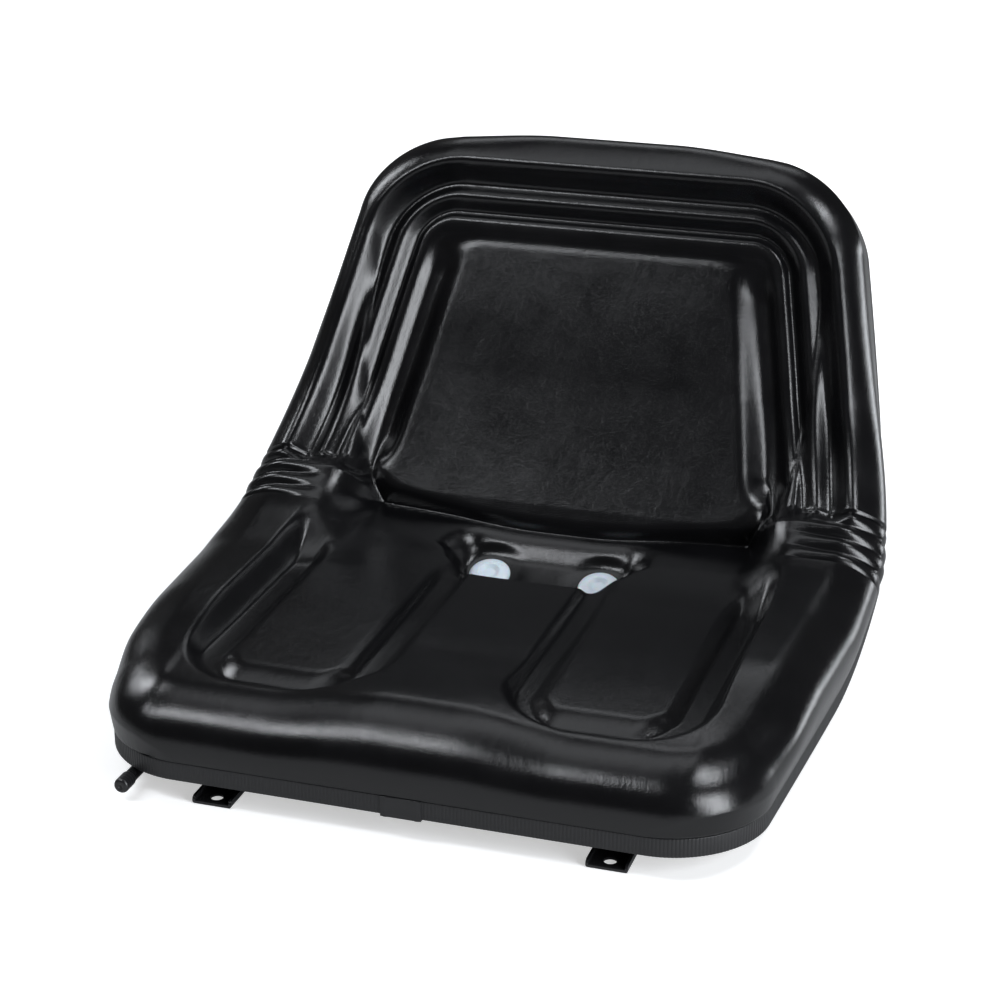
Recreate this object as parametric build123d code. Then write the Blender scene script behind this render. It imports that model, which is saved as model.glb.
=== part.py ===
"""Tractor seat on slide rails. Millimetres, +Z up, the seat faces -Y, origin at the floor bolt pattern."""
import math
import os

from build123d import *

# Slide rails and their floor bolt pattern
rail_spacing = 292.0          # between the rails' centre lines
bolt_pitch = 304.8            # front hole to rear hole of one lower rail
bolt_hole_d = 9.5             # floor bolt clearance hole
tab_edge = 10.0               # hole centre to rail end
tab_length = 20.0             # stretch of each rail end with low lips
tab_lip = 5.5                 # height of the lips at the tab
rail_width = 30.0             # outer width of the lower rail
rail_sheet = 2.0              # sheet thickness of both rails
rail_flange = 18.0            # height of the lower rail
rail_lip = 6.0                # in-turned lip, from the outer face
rail_bend_r = 1.6             # outer bend radius of the lower rail
upper_width = 16.0            # outer width of the upper rail's stem
upper_foot = 11.4             # half width over the upper rail's feet
upper_foot_z = 7.0            # underside of the upper rail's feet
upper_length = 220.0          # length of the upper rail
upper_shift = -10.0           # upper rail's centre behind the bolt pattern's centre
glide_gap = 0.3               # running room round the glides
glide_length = 22.0           # length of one glide
glide_pitch = 130.0           # front glide to rear glide

# Seat pan, all measured along the pan's own surface
pan_height = 34.0             # top of the pan above the floor
pan_sheet = 1.5               # pan sheet thickness
front_edge = -168.9           # front edge of the rim in Y
seat_flat = 248.6             # straight stretch of the seat
bend_r = 249.2                # radius of the pan between seat and back
lean_deg = 25.3               # back's lean from the vertical
back_flat = 196.5             # straight stretch of the back
front_half = 241.0            # half width at the front
hip_half = 263.5              # half width at the hips
top_half = 201.3              # half width at the top
front_r = 68.0                # front corners in plan
top_r = 70.0                  # top corners
skirt_height = 11.0           # pan's turned-down edge
skirt_inset = 3.0             # pan's edge inside the rim
stud_pitch = 160.0            # front stud to rear stud
stud_d = 6.0                  # weld stud diameter
stud_length = 11.0            # stud below the pan
nut_af = 10.0                 # nut across flats
nut_height = 5.0              # nut height
washer_d = 11.4               # washer diameter
washer_sheet = 1.2            # washer thickness
stud_room = 0.25              # radial room of the stud in the rail's hole

# Edge trim and its joint clip
trim_inset = 0.4              # trim's outer face inside the rim
trim_sheet = 2.3              # trim wall
trim_height = 13.3            # outer face of the trim
trim_inner = 7.0              # height of the trim's inner wall
trim_room = 0.25              # room between the trim's walls and the pan's edge
trim_reveal = 0.4             # gap between the trim and the cushion
trim_gap = 1.2                # gap between the trim's ends
clip_width = 30.0             # joint clip
clip_sheet = 1.0              # clip wall

# Cushion: heights above the pan
roll_seat = 44.0              # outer roll of the seat
roll_back = 28.0              # outer roll of the back
roll_pommel = 6.0             # wider roll at the pommel
thigh_crown = 47.0            # bolsters at the front
hip_crown = 50.0              # bolsters at the hips
back_crown = 46.0             # back's outer roll
pommel_crown = 55.0           # pommel in the middle of the front
tongue_crown = 46.0           # tongue between the pockets
pommel_half = 110.0           # half width of the pommel's foot
pommel_blend = 85.0           # run of the pommel's sides
pommel_end = 150.0            # rear end of the pommel
pocket_in = 44.0              # inner edge of a thigh pocket from the middle
pocket_out = 203.0            # outer edge of a thigh pocket from the middle
pocket_front = 44.0           # front edge of a thigh pocket
pocket_rear = 420.0           # rear edge of a thigh pocket, past its fade
pocket_r = 62.0               # pocket corners
pocket_floor = 40.0           # pocket floor
pocket_wall = 17.0            # run of the pocket's wall
pocket_fade = 270.0           # where a pocket starts to run out
pocket_end = 352.0            # where a pocket has run out
pad_in = 62.0                 # inner edge of a thigh pad
pad_out = 177.0               # outer edge of a thigh pad
pad_low = 66.0                # front edge of a thigh pad
pad_rear = 400.0              # rear edge of a thigh pad, past its fade
pad_r = 34.0                  # thigh pad corners
pad_rise = 7.0                # thigh pad above the pocket floor
pad_round = 21.0              # run of the pad's edge
pad_front = 84.0              # front edge of the pad's top
pad_ramp = 0.6                # share that stretches the pad's front face
pad_fade = 268.0              # where a pad starts to run out
pad_end = 332.0               # where a pad has run out
trough_start = 286.0          # front of the trough at the seat and back junction
trough_slope = 40.0           # run of the trough's front slope
trough_end = 364.0            # rear of the trough
trough_rear = 16.0            # run of the trough's rear slope
trough_half = 70.0            # half width of the trough
trough_flare = 22.0           # wider part of the trough at the rear
trough_side = 34.0            # run of the trough's sides
trough_floor = 5.0            # cushion left under the trough
flat_half = 215.0             # half width of the flat middle
flat_blend = 60.0             # run from the flat middle to the bolsters
flat_back = 0.9               # share of the bend that the back's plane leaves out
least = 3.0                   # least cushion anywhere in the middle
lobe_start = 335.0            # where the seat's rear lobes start to fall
lobe_end = 392.0              # where they end
lobe_drop = 14.0              # their fall
meet = 9.0                    # rounding where seat and back meet
ring_corner = 92.0            # corner radius that the back's rings follow
corner_roll = 14.0            # wider roll at the top corners
ring_start = 350.0            # where the back's rings start
ring_full = 395.0             # where they have their full depth
valley = 34.0                 # valley inside the outer roll
bead = 38.5                   # bead
groove = 29.0                 # groove inside the bead
shoulder = 35.0               # shoulder inside the groove
valley_at, valley_run = 20.0, 21.0      # start and run of each ring, from the rim
bead_at, bead_run = 40.0, 11.0
groove_at, groove_run = 51.0, 14.0
shoulder_at, shoulder_run = 63.0, 7.0
step_at, step_run = 73.0, 14.0
panel_inset = 88.0            # back panel's edge from the rim
panel_low = 386.0             # back panel's lower edge
panel_sag = 16.0              # lower edge's rise towards its corners
panel_r = 34.0                # back panel's corners
panel_rise = 33.0             # back panel at its top
panel_lumbar = 12.0           # how much more it stands out at its lower edge
panel_run = 240.0             # length of that slope
panel_edge = 5.0              # step from the rings up to the panel's sides
panel_round = 16.0            # rounding of the panel's edge
low_back = 10.0               # cushion below the back panel
gather_s = 366.0              # first gather ridge
gather_pitch = 17.3           # ridge to ridge
gather_count = 4              # ridges on a side
gather_depth = 4.2            # notch depth
gather_width = 74.0           # reach of the gathers from the rim
gather_fade = 44.0            # run over which they fade out

# Drain plugs
plug_x = 46.0                 # plug centre from the middle
plug_d = 34.0                 # plug flange diameter
plug_s = 342.0                # plug centre along the pan
plug_seat = 4.0               # plug flange above the pan
plug_dome = 5.0               # flange dome height
plug_stem_d = 16.0            # plug stem
plug_dish = 2.4               # depth of the dish in the dome
plug_clear = 0.4              # room round the stem in the cushion

# Lock lever on the left rail
lever_rod_d = 9.6             # handle rod
lever_rod_length = 90.0       # handle rod
lever_plate = 3.0             # latch plate thickness
lever_z = 12.0                # middle of the latch plate and rod
lever_out = 34.0              # handle rod outside the pivot pin
lever_tip_y = -175.0          # front end of the handle rod
pivot_out = 30.0              # pivot pin outside the rail's centre line
pivot_y = -20.0               # pivot pin
pin_d = 6.0                   # pivot pin diameter
pin_head_d = 10.0             # pivot pin head
pin_head = 2.0                # pivot pin head height
pin_gap = 0.05                # radial running room on the pin
pin_float = 0.3               # room above and below the latch plate
bracket_sheet = 2.5           # latch bracket sheet
bracket_length = 44.0         # latch bracket along the rail
bracket_gap = 1.2             # bracket's shelf above the lower rail
rivet_d = 4.0                 # bracket rivets
rivet_head_d = 7.0            # bracket rivet heads
rivet_head = 1.4              # bracket rivet head height
rivet_pitch = 26.0            # bracket rivet spacing
notch_count = 13              # latch notches
notch_pitch = 10.0            # notch to notch
notch_width = 6.8             # notch length along the rail
notch_height = 5.0            # notch height
tooth_reach = 35.0            # tooth in front of the pivot
tooth_width = 4.0             # latch tooth
tooth_stand = 0.6             # tooth tip clear of the rail
cap_length = 14.0             # handle cap
cap_wall = 0.9                # handle cap wall

bend_angle = math.radians(90.0 - lean_deg)
path_length = seat_flat + bend_r * bend_angle + back_flat
hip_s = seat_flat + bend_r * bend_angle / 2
rail_x = rail_spacing / 2
half_pitch = bolt_pitch / 2
pivot_x = -rail_x - pivot_out
lever_x = pivot_x - lever_out
rail_half = half_pitch + tab_edge


def path_point(s, h):
    """Y and Z of the point at path length s and height h above the pan."""
    if s <= seat_flat:
        return front_edge + s, pan_height + h
    turn = min((s - seat_flat) / bend_r, bend_angle)
    run = max(s - seat_flat - bend_r * bend_angle, 0.0)
    y = front_edge + seat_flat + (bend_r - h) * math.sin(turn) + run * math.cos(turn)
    z = pan_height + bend_r - (bend_r - h) * math.cos(turn) + run * math.sin(turn)
    return y, z


def ease(t):
    """Smooth step from 0 to 1."""
    t = min(max(t, 0.0), 1.0)
    return t * t * (3.0 - 2.0 * t)


def mix(a, b, t):
    """Value between a and b."""
    return a + (b - a) * t


def side_half(s):
    """Half width of the seat's side line at path length s."""
    if s < hip_s:
        t = max(s, 0.0) / hip_s
        return mix(front_half, hip_half, 0.7 * t + 0.3 * math.sin(math.pi / 2 * t))
    t = min((s - hip_s) / (path_length - hip_s), 1.0)
    return mix(hip_half, top_half, 0.7 * t + 0.3 * (1.0 - math.cos(math.pi / 2 * t)))


def half_width(s, inset):
    """Half width of the rim outline, inset by a distance, at path length s."""
    low_r = front_r - inset
    high_r = top_r - inset
    w = side_half(s) - inset
    low = low_r - (s - inset)
    high = high_r - (path_length - inset - s)
    if low > 0:
        w = w - low_r + math.sqrt(max(low_r * low_r - low * low, 0.0))
    if high > 0:
        w = w - high_r + math.sqrt(max(high_r * high_r - high * high, 0.0))
    return w


def rim_distance(x, s):
    """Distance inside the rim outline."""
    x = abs(x)
    low_x = side_half(front_r) - front_r
    high_s = path_length - top_r
    high_x = side_half(high_s) - top_r
    if s < front_r and x > low_x:
        return front_r - math.hypot(x - low_x, s - front_r)
    if s > high_s and x > high_x:
        return top_r - math.hypot(x - high_x, s - high_s)
    return min(side_half(s) - x, s, path_length - s)


def inside_box(x, s, x0, x1, s0, s1, r):
    """Distance inside a box with round corners, negative outside."""
    dx = abs(x - (x0 + x1) / 2) - (x1 - x0) / 2 + r
    ds = abs(s - (s0 + s1) / 2) - (s1 - s0) / 2 + r
    return r - math.hypot(max(dx, 0.0), max(ds, 0.0)) - min(max(dx, ds), 0.0)


def ring_distance(x, s):
    """Distance inside the rim with the wide corners that the back's rings follow."""
    a = max(ring_corner - side_half(s) + abs(x), 0.0)
    b = max(ring_corner - path_length + s, 0.0)
    return ring_corner - math.hypot(a, b)


def ring_height(d, inner):
    """Rings round the back panel: broad roll, valley, bead, groove, shoulder and a step to the inner height."""
    h = mix(back_crown, valley, ease((d - valley_at) / valley_run))
    h = mix(h, bead, ease((d - bead_at) / bead_run))
    h = mix(h, groove, ease((d - groove_at) / groove_run))
    h = mix(h, shoulder, ease((d - shoulder_at) / shoulder_run))
    return mix(h, inner, ease((d - step_at) / step_run))


def round_up(t):
    """Quarter circle from 0 to 1."""
    t = min(max(t, 0.0), 1.0)
    return math.sqrt(1.0 - (1.0 - t) ** 2)


def middle(x):
    """Share of the flat middle: 1 there, 0 on the bolsters that follow the rim's bend."""
    return ease((flat_half - abs(x)) / flat_blend)


def straight(s, h, share, back):
    """Height that carries the seat's plane, or the back's plane, on over the pan's bend."""
    turn = min(max((s - seat_flat) / bend_r, 0.0), bend_angle)
    angle = (bend_angle - turn if back else turn) * share
    return bend_r - (bend_r - h) / math.cos(angle)


def seat_height(x, s):
    """Seat: crest and tongue, less the thigh pockets, plus the thigh pads, less the trough by the plugs."""
    a = abs(x)
    side = mix(thigh_crown, hip_crown, ease((s - 60.0) / 260.0))
    tongue = mix(pommel_crown, tongue_crown, ease((s - 45.0) / (pommel_end - 45.0)))
    h = mix(side, tongue, ease((pommel_half - a) / pommel_blend))
    pocket = inside_box(a, s, pocket_in, pocket_out, pocket_front, pocket_rear, pocket_r)
    fade = 1.0 - ease((s - pocket_fade) / (pocket_end - pocket_fade))
    h = mix(h, pocket_floor, ease(pocket / pocket_wall) * fade)
    pad_s = mix(pad_front, s, pad_ramp) if s < pad_front else s
    pad = inside_box(a, pad_s, pad_in, pad_out, pad_low, pad_rear, pad_r)
    h = h + pad_rise * ease(pad / pad_round) * (1.0 - ease((s - pad_fade) / (pad_end - pad_fade)))
    h = h - lobe_drop * ease((s - lobe_start) / (lobe_end - lobe_start)) * middle(x)
    h = straight(s, h, middle(x), False)
    half = trough_half + trough_flare * ease((s - trough_start - trough_side) / trough_side)
    along = ease((s - trough_start) / trough_slope) * (1.0 - ease((s - trough_end) / trough_rear))
    return mix(h, trough_floor, ease((half - a) / trough_side) * along)


def back_height(x, s):
    """Back: rings round a pillow panel that stands out most at its lower edge."""
    a = abs(x)
    high = path_length - panel_inset - s
    ring = ring_height(ring_distance(x, s), panel_rise - panel_edge * ease(high / 40.0))
    ring = mix((hip_crown + back_crown) / 2, ring, ease((s - ring_start) / (ring_full - ring_start)))
    sag = panel_low + panel_sag * (x / 150.0) ** 2
    across = side_half(s) - a - panel_inset
    along = min(s - sag, high)
    panel = panel_r - math.hypot(max(panel_r - across, 0.0), max(panel_r - along, 0.0))
    rise = panel_rise + panel_lumbar * min(max(high / panel_run, 0.0), 1.0)
    below = mix(low_back, ring, ease((a - 125.0) / 60.0))
    below = mix(below, ring, ease((s - sag) / 30.0))
    h = mix(below, rise, round_up(panel / panel_round))
    return straight(s, h, flat_back * middle(x), True)


def gather(s):
    """Depth of the gather notches at path length s."""
    first = gather_s - gather_pitch / 2
    last = gather_s + (gather_count - 0.5) * gather_pitch
    if s < first or s > last:
        return 0.0
    return gather_depth * (1.0 - abs(math.cos(math.pi * (s - gather_s) / gather_pitch)))


def cushion_height(x, s):
    """Height of the cushion above the pan: seat and back joined, dropped round the rim by a roll."""
    d = max(rim_distance(x, s), 0.0)
    seat = seat_height(x, s)
    back = back_height(x, s)
    outer = mix(seat, back, ease((s - 345.0) / 45.0))
    gap = max(meet - abs(seat - back), 0.0)
    h = mix(outer, max(seat, back, least) + gap * gap / (4.0 * meet), middle(x))
    roll = mix(roll_seat, roll_back, ease((s - 330.0) / 80.0))
    pommel = math.exp(-((x / 80.0) ** 2)) * (1.0 - ease((s - 60.0) / 60.0))
    across = max(1.0 - (side_half(s) - abs(x)) / top_r, 0.0)
    up = max(1.0 - (path_length - s) / top_r, 0.0)
    roll = roll + roll_pommel * pommel + corner_roll * min(2.0 * across * up, 1.0)
    h = h - roll * (1.0 - round_up(d / roll))
    return h - gather(s) * ease((gather_width - d) / gather_fade)


def section_wire(s, points):
    """Closed section of straight edges in the pan's normal plane at path length s."""
    corners = [Vector(x, *path_point(s, h)) for x, h in points]
    return Wire.make_polygon(corners, close=True)


def stations(first, last, low_r, high_r, count):
    """Path lengths of an outline's sections, close together at its rounded corners."""
    angles = [math.radians(a) for a in (0, 12, 25, 40, 55, 72, 90)]
    low = [first + low_r * (1 - math.cos(a)) for a in angles]
    high = [last - high_r * (1 - math.cos(a)) for a in reversed(angles)]
    step = (high[0] - low[-1]) / count
    return low + [low[-1] + step * i for i in range(1, count)] + high


def outline_body(inset, low, high):
    """Solid over the rim outline, inset by a distance, between two heights."""
    places = stations(inset, path_length - inset, front_r - inset, top_r - inset, 14)
    wires = []
    for s in places:
        w = half_width(s, inset)
        wires.append(section_wire(s, [(-w, low), (w, low), (w, high), (-w, high)]))
    return Solid.make_loft(wires)


def slab(low, high):
    """Band of the pan's profile between two heights, wider than the seat."""
    over = 30.0
    inner = []
    outer = []
    for h, edges in ((low, inner), (high, outer)):
        y0, z0 = path_point(0.0, h)
        y1, z1 = path_point(seat_flat, h)
        y2, z2 = path_point(seat_flat + bend_r * bend_angle / 2, h)
        y3, z3 = path_point(seat_flat + bend_r * bend_angle, h)
        y4, z4 = path_point(path_length + over, h)
        edges.append(Edge.make_line((0, y0 - over, z0), (0, y1, z1)))
        edges.append(Edge.make_three_point_arc((0, y1, z1), (0, y2, z2), (0, y3, z3)))
        edges.append(Edge.make_line((0, y3, z3), (0, y4, z4)))
    start = Edge.make_line(inner[0] @ 0, outer[0] @ 0)
    end = Edge.make_line(inner[-1] @ 1, outer[-1] @ 1)
    face = Face(Wire(inner + outer + [start, end]))
    return extrude(face, amount=hip_half + over, dir=(1, 0, 0), both=True)


def cushion_body():
    """Cushion lofted through sections along the pan, its underside on the pan's profile."""
    turn = [1 - math.cos(math.radians(a)) for a in (0, 14, 28, 42, 57, 73, 90)]
    places = [roll_seat * f for f in turn]
    places += [pocket_front + f * (pad_front - pocket_front) for f in (0.18, 0.36, 0.54, 0.72, 0.88, 1.08)]
    rest = trough_start - pad_front
    places += [pad_front + f * rest for f in (0.12, 0.3, 0.5, 0.7, 0.86, 0.96)]
    first = gather_s - gather_pitch / 2
    run = first - trough_start
    places += [trough_start + f * run for f in (0.04, 0.2, 0.36, 0.52, 0.68, 0.84)]
    places += [first + gather_pitch / 4 * i for i in range(gather_count * 4 + 1)]
    last = places[-1]
    rest = path_length - panel_inset - panel_round - last
    places += [last + f * rest for f in (0.07, 0.2, 0.4, 0.6, 0.8, 0.96)]
    rings = (96.0, 90.0, 85.0, 78.0, 72.0, 67.0, 62.5, 57.0, 51.0, 45.0, 38.0, 33.0)
    places += [path_length - d for d in rings]
    places += [path_length - roll_back * f for f in reversed(turn)]
    offsets = (0.0, 1.2, 4.5, 10.0, 17.0, 24.0, 31.0, 38.0, 45.0, 51.0, 57.0, 62.5, 67.0, 72.0, 78.0, 85.0, 90.0, 96.0, 104.0)
    inner = (0.88, 0.76, 0.66, 0.57, 0.50, 0.43, 0.37, 0.30, 0.22, 0.11)
    wires = []
    low = -6.0
    for s in places:
        foot = half_width(s, 0.0)
        w = foot - 0.5 * gather(s)
        xs = [w - d for d in offsets]
        xs += [f * xs[-1] for f in inner]
        xs = xs + [0.0] + [-x for x in reversed(xs)]
        heights = [cushion_height(x if abs(x) < w else math.copysign(foot, x), s) for x in xs]
        points = [Vector(x, *path_point(s, h)) for x, h in zip(xs, heights)]
        span = [0.0]
        for i in range(1, len(xs)):
            span.append(i / (len(xs) - 1))
        top_edge = Edge.make_spline(points, parameters=span)
        base = [Vector(x, *path_point(s, low)) for x in (foot, -foot)]
        right = Edge.make_line(base[0], points[0])
        left = Edge.make_line(points[-1], base[1])
        bottom = Edge.make_line(base[1], base[0])
        wires.append(Wire([right, top_edge, left, bottom]))
    body = Solid.make_loft(wires)
    return body - slab(low - 20.0, 0.0)


def frame_at(s):
    """Plane on the pan's top at path length s, its normal square to the pan."""
    y, z = path_point(s, 0.0)
    y1, z1 = path_point(s, 1.0)
    return Plane(origin=(0, y, z), x_dir=(1, 0, 0), z_dir=(0, y1 - y, z1 - z))


def column(x, s, d, low, high):
    """Round column square to the pan between two heights."""
    place = frame_at(s) * Pos(x, 0, low)
    return place * Cylinder(d / 2, high - low, align=(Align.CENTER, Align.CENTER, Align.MIN))


def drained(body, d, low, high):
    """Body with a round opening at each drain plug."""
    for x in (-plug_x, plug_x):
        body = body - column(x, plug_s, d, low, high)
    return body


def pan_body():
    """Stamped pan with its turned-down edge and drain holes."""
    outer = outline_body(skirt_inset, -skirt_height - 8, 8) & slab(-skirt_height, 0.0)
    inner = outline_body(skirt_inset + pan_sheet, -skirt_height - 8, 8) & slab(-skirt_height - 4, -pan_sheet)
    return drained(outer - inner, plug_stem_d + 2 * plug_clear, -20, 20)


def trim_body():
    """Channel strip pushed over the pan's edge, its two ends meeting at the front."""
    wide = trim_inset
    slot = skirt_inset - trim_room
    back = skirt_inset + pan_sheet + trim_room
    last = back + trim_sheet
    tall = outline_body(wide, -trim_height - 8, 8) & slab(-trim_height, -trim_reveal)
    groove = outline_body(slot, -trim_height - 8, 8) & slab(-skirt_height, 6)
    lip = outline_body(back, -trim_height - 8, 8) & slab(-skirt_height, -skirt_height + trim_inner)
    middle = outline_body(last, -trim_height - 12, 12)
    strip = (tall - groove) + lip - middle
    joint = Pos(0, front_edge, pan_height) * Box(trim_gap, 40, 60)
    return strip - joint


def clip_body():
    """Sheet clip over the joint of the trim."""
    last = skirt_inset + pan_sheet + trim_room + trim_sheet
    y0 = front_edge + trim_inset
    y1 = front_edge + last
    z0 = pan_height - trim_height
    z1 = pan_height - trim_reveal
    with BuildSketch(Plane.YZ) as profile:
        with BuildLine():
            Polyline(
                (y0 - clip_sheet, z0 - clip_sheet),
                (y1 + clip_sheet, z0 - clip_sheet),
                (y1 + clip_sheet, z0 + trim_inner),
                (y1, z0 + trim_inner),
                (y1, z0),
                (y0, z0),
                (y0, z1),
                (y0 - clip_sheet, z1),
                close=True,
            )
        make_face()
    return extrude(profile.sketch, amount=clip_width / 2, both=True)


def plug_body(x):
    """Drain plug with a domed flange, a stem through the pan and a catch below it."""
    r = plug_d / 2
    stem = plug_stem_d / 2
    catch = stem + plug_clear + 1.2
    under = -pan_sheet - 0.3
    with BuildSketch(Plane.XZ) as profile:
        with BuildLine():
            Polyline((0, under - 5), (stem - 1, under - 5), (catch, under), (stem, under), (stem, plug_seat))
            Line((stem, plug_seat), (r, plug_seat))
            Line((r, plug_seat), (r, plug_seat + 1.0))
            ThreePointArc((r, plug_seat + 1.0), (r * 0.78, plug_seat + 0.8 * plug_dome), (r * 0.5, plug_seat + plug_dome))
            Line((r * 0.5, plug_seat + plug_dome), (r * 0.32, plug_seat + plug_dome - plug_dish))
            Line((r * 0.32, plug_seat + plug_dome - plug_dish), (0, plug_seat + plug_dome - plug_dish))
            Line((0, plug_seat + plug_dome - plug_dish), (0, under - 5))
        make_face()
    return frame_at(plug_s) * Pos(x, 0, 0) * revolve(profile.sketch, Axis.Z)


def lower_rail(x, notched):
    """Lower rail: an open channel with in-turned lips, low tabs at both ends and bolt holes."""
    w = rail_width / 2
    t = rail_sheet
    with BuildSketch(Plane.XZ) as profile:
        Rectangle(rail_width, rail_flange, align=(Align.CENTER, Align.MIN))
        fillet(profile.vertices(), rail_bend_r)
        with Locations((0, t)):
            Rectangle(rail_width - 2 * t, rail_flange - 2 * t, align=(Align.CENTER, Align.MIN), mode=Mode.SUBTRACT)
        with Locations((0, rail_flange / 2)):
            Rectangle(rail_width - 2 * rail_lip, rail_flange, align=(Align.CENTER, Align.MIN), mode=Mode.SUBTRACT)
    rail = extrude(profile.sketch, amount=rail_half, both=True)
    for side in (-1, 1):
        tab = Pos(0, side * (rail_half - tab_length / 2), tab_lip) * Box(
            rail_width + 2, tab_length, rail_flange, align=(Align.CENTER, Align.CENTER, Align.MIN)
        )
        rail = rail - tab
        rail = rail - Pos(0, side * half_pitch, 0) * Cylinder(bolt_hole_d / 2, 4 * t)
    ends = [e for e in rail.edges().filter_by(Axis.X) if abs(e.center().Z - tab_lip) < 0.01]
    ends = [e for e in ends if abs(abs(e.center().Y) - rail_half) < 0.01]
    rail = fillet(ends, tab_lip * 0.6)
    if notched:
        for i in range(notch_count):
            y = pivot_y - tooth_reach + (i - notch_count // 2) * notch_pitch
            rail = rail - Pos(-w, y, lever_z) * Box(3 * t, notch_width, notch_height)
    return Pos(x, 0, 0) * rail


def upper_rail(x):
    """Upper rail: a stem channel with out-turned feet, bolted up to the pan."""
    top = pan_height - pan_sheet
    w = upper_width / 2
    t = rail_sheet
    z = upper_foot_z
    right = [(0, top), (w, top), (w, z + t), (upper_foot, z + t), (upper_foot, z), (w - t, z), (w - t, top - t), (0, top - t)]
    with BuildSketch(Plane.XZ) as profile:
        with BuildLine():
            Polyline(*right, close=True)
        make_face()
        mirror(about=Plane.YZ)
    rail = extrude(profile.sketch, amount=upper_length / 2, both=True)
    for y in (-stud_pitch / 2, stud_pitch / 2):
        rail = rail - Pos(0, y, top) * Cylinder(stud_d / 2 + stud_room, 4 * t)
    return Pos(x, upper_shift, 0) * rail


def glides(x):
    """Four glides clipped on the feet of one upper rail."""
    t = rail_sheet
    inner = upper_width / 2 + 0.2
    outer = rail_width / 2 - t - glide_gap
    low = t + glide_gap
    high = rail_flange - t - glide_gap
    z = upper_foot_z
    shape = [(inner, low), (outer, low), (outer, high), (inner, high), (inner, z + t), (upper_foot, z + t), (upper_foot, z), (inner, z)]
    with BuildSketch(Plane.XZ) as profile:
        with BuildLine():
            Polyline(*shape, close=True)
        make_face()
    one = extrude(profile.sketch, amount=glide_length / 2, both=True)
    group = []
    for y in (-glide_pitch / 2, glide_pitch / 2):
        place = Pos(x, upper_shift + y, 0)
        group.append(place * one)
        group.append(place * mirror(one, about=Plane.YZ))
    return Compound(children=group)


def stud_places():
    """Middle of each stud."""
    return [(x, upper_shift + y) for x in (-rail_x, rail_x) for y in (-stud_pitch / 2, stud_pitch / 2)]


def ring(outer, inner, height):
    """Flat ring standing on its lower face."""
    low = (Align.CENTER, Align.CENTER, Align.MIN)
    return Cylinder(outer / 2, height, align=low) - Cylinder(inner / 2, height, align=low)


def studs():
    """Weld studs under the pan."""
    top = pan_height - pan_sheet
    one = Cylinder(stud_d / 2, stud_length, align=(Align.CENTER, Align.CENTER, Align.MAX))
    return Compound(children=[Pos(x, y, top) * one for x, y in stud_places()])


def washers():
    """Washers under the upper rails' webs."""
    z = pan_height - pan_sheet - rail_sheet - washer_sheet
    one = ring(washer_d, stud_d + 2 * stud_room, washer_sheet)
    return Compound(children=[Pos(x, y, z) * one for x, y in stud_places()])


def nuts():
    """Nuts on the studs."""
    z = pan_height - pan_sheet - rail_sheet - washer_sheet - nut_height
    hexagon = RegularPolygon(nut_af / 2, 6, major_radius=False, rotation=30)
    one = extrude(hexagon, amount=nut_height)
    one = one - Cylinder(stud_d / 2, 3 * nut_height)
    return Compound(children=[Pos(x, y, z) * one for x, y in stud_places()])


def bracket():
    """Latch bracket riveted to the left upper rail."""
    x1 = -rail_x - upper_width / 2
    x0 = pivot_x - pin_head_d
    z0 = rail_flange + bracket_gap
    z1 = pan_height - pan_sheet - 1.0
    t = bracket_sheet
    with BuildSketch(Plane.XZ) as profile:
        with BuildLine():
            Polyline((x0, z0), (x1, z0), (x1, z1), (x1 - t, z1), (x1 - t, z0 + t), (x0, z0 + t), close=True)
        make_face()
    plate = Pos(0, pivot_y, 0) * extrude(profile.sketch, amount=bracket_length / 2, both=True)
    plate = plate - Pos(pivot_x, pivot_y, z0) * Cylinder(pin_d / 2, 4 * t)
    return plate - rivet_holes()


def rivet_line():
    """Height and Y places of the bracket's rivets."""
    z = (rail_flange + bracket_gap + bracket_sheet + pan_height - pan_sheet - 1.0) / 2
    return z, (pivot_y - rivet_pitch / 2, pivot_y + rivet_pitch / 2)


def rivet_holes():
    """Bores for the bracket's rivets."""
    z, places = rivet_line()
    x = -rail_x - upper_width / 2
    one = Rot(0, 90, 0) * Cylinder(rivet_d / 2, 4 * bracket_sheet)
    return [Pos(x, y, z) * one for y in places]


def rivets():
    """Rivets through the bracket and the upper rail's side."""
    z, places = rivet_line()
    x0 = -rail_x - upper_width / 2 - bracket_sheet
    x1 = -rail_x - upper_width / 2 + rail_sheet
    turn = Rot(0, 90, 0)
    low = (Align.CENTER, Align.CENTER, Align.MIN)
    group = []
    for y in places:
        body = Pos(x0 - rivet_head, y, z) * turn * Cylinder(rivet_head_d / 2, rivet_head, align=low)
        body = body + Pos(x0, y, z) * turn * Cylinder(rivet_d / 2, x1 - x0, align=low)
        body = body + Pos(x1, y, z) * turn * Cylinder(rivet_head_d / 2, rivet_head / 2, align=low)
        group.append(body)
    return Compound(children=group)


def pivot_pin():
    """Shouldered pin that carries the lock lever under the bracket."""
    z0 = rail_flange + bracket_gap
    z1 = z0 + bracket_sheet
    low = lever_z - lever_plate / 2 - pin_float
    high = lever_z + lever_plate / 2 + pin_float
    r = pin_d / 2
    head = pin_head_d / 2
    shape = [(0, low - pin_head), (head, low - pin_head), (head, low), (r, low), (r, high), (head, high), (head, z0)]
    shape += [(r, z0), (r, z1), (head, z1), (head, z1 + pin_head), (0, z1 + pin_head)]
    with BuildSketch(Plane.XZ) as profile:
        with BuildLine():
            Polyline(*shape, close=True)
        make_face()
    return Pos(pivot_x, pivot_y, 0) * revolve(profile.sketch, Axis.Z)


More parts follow.
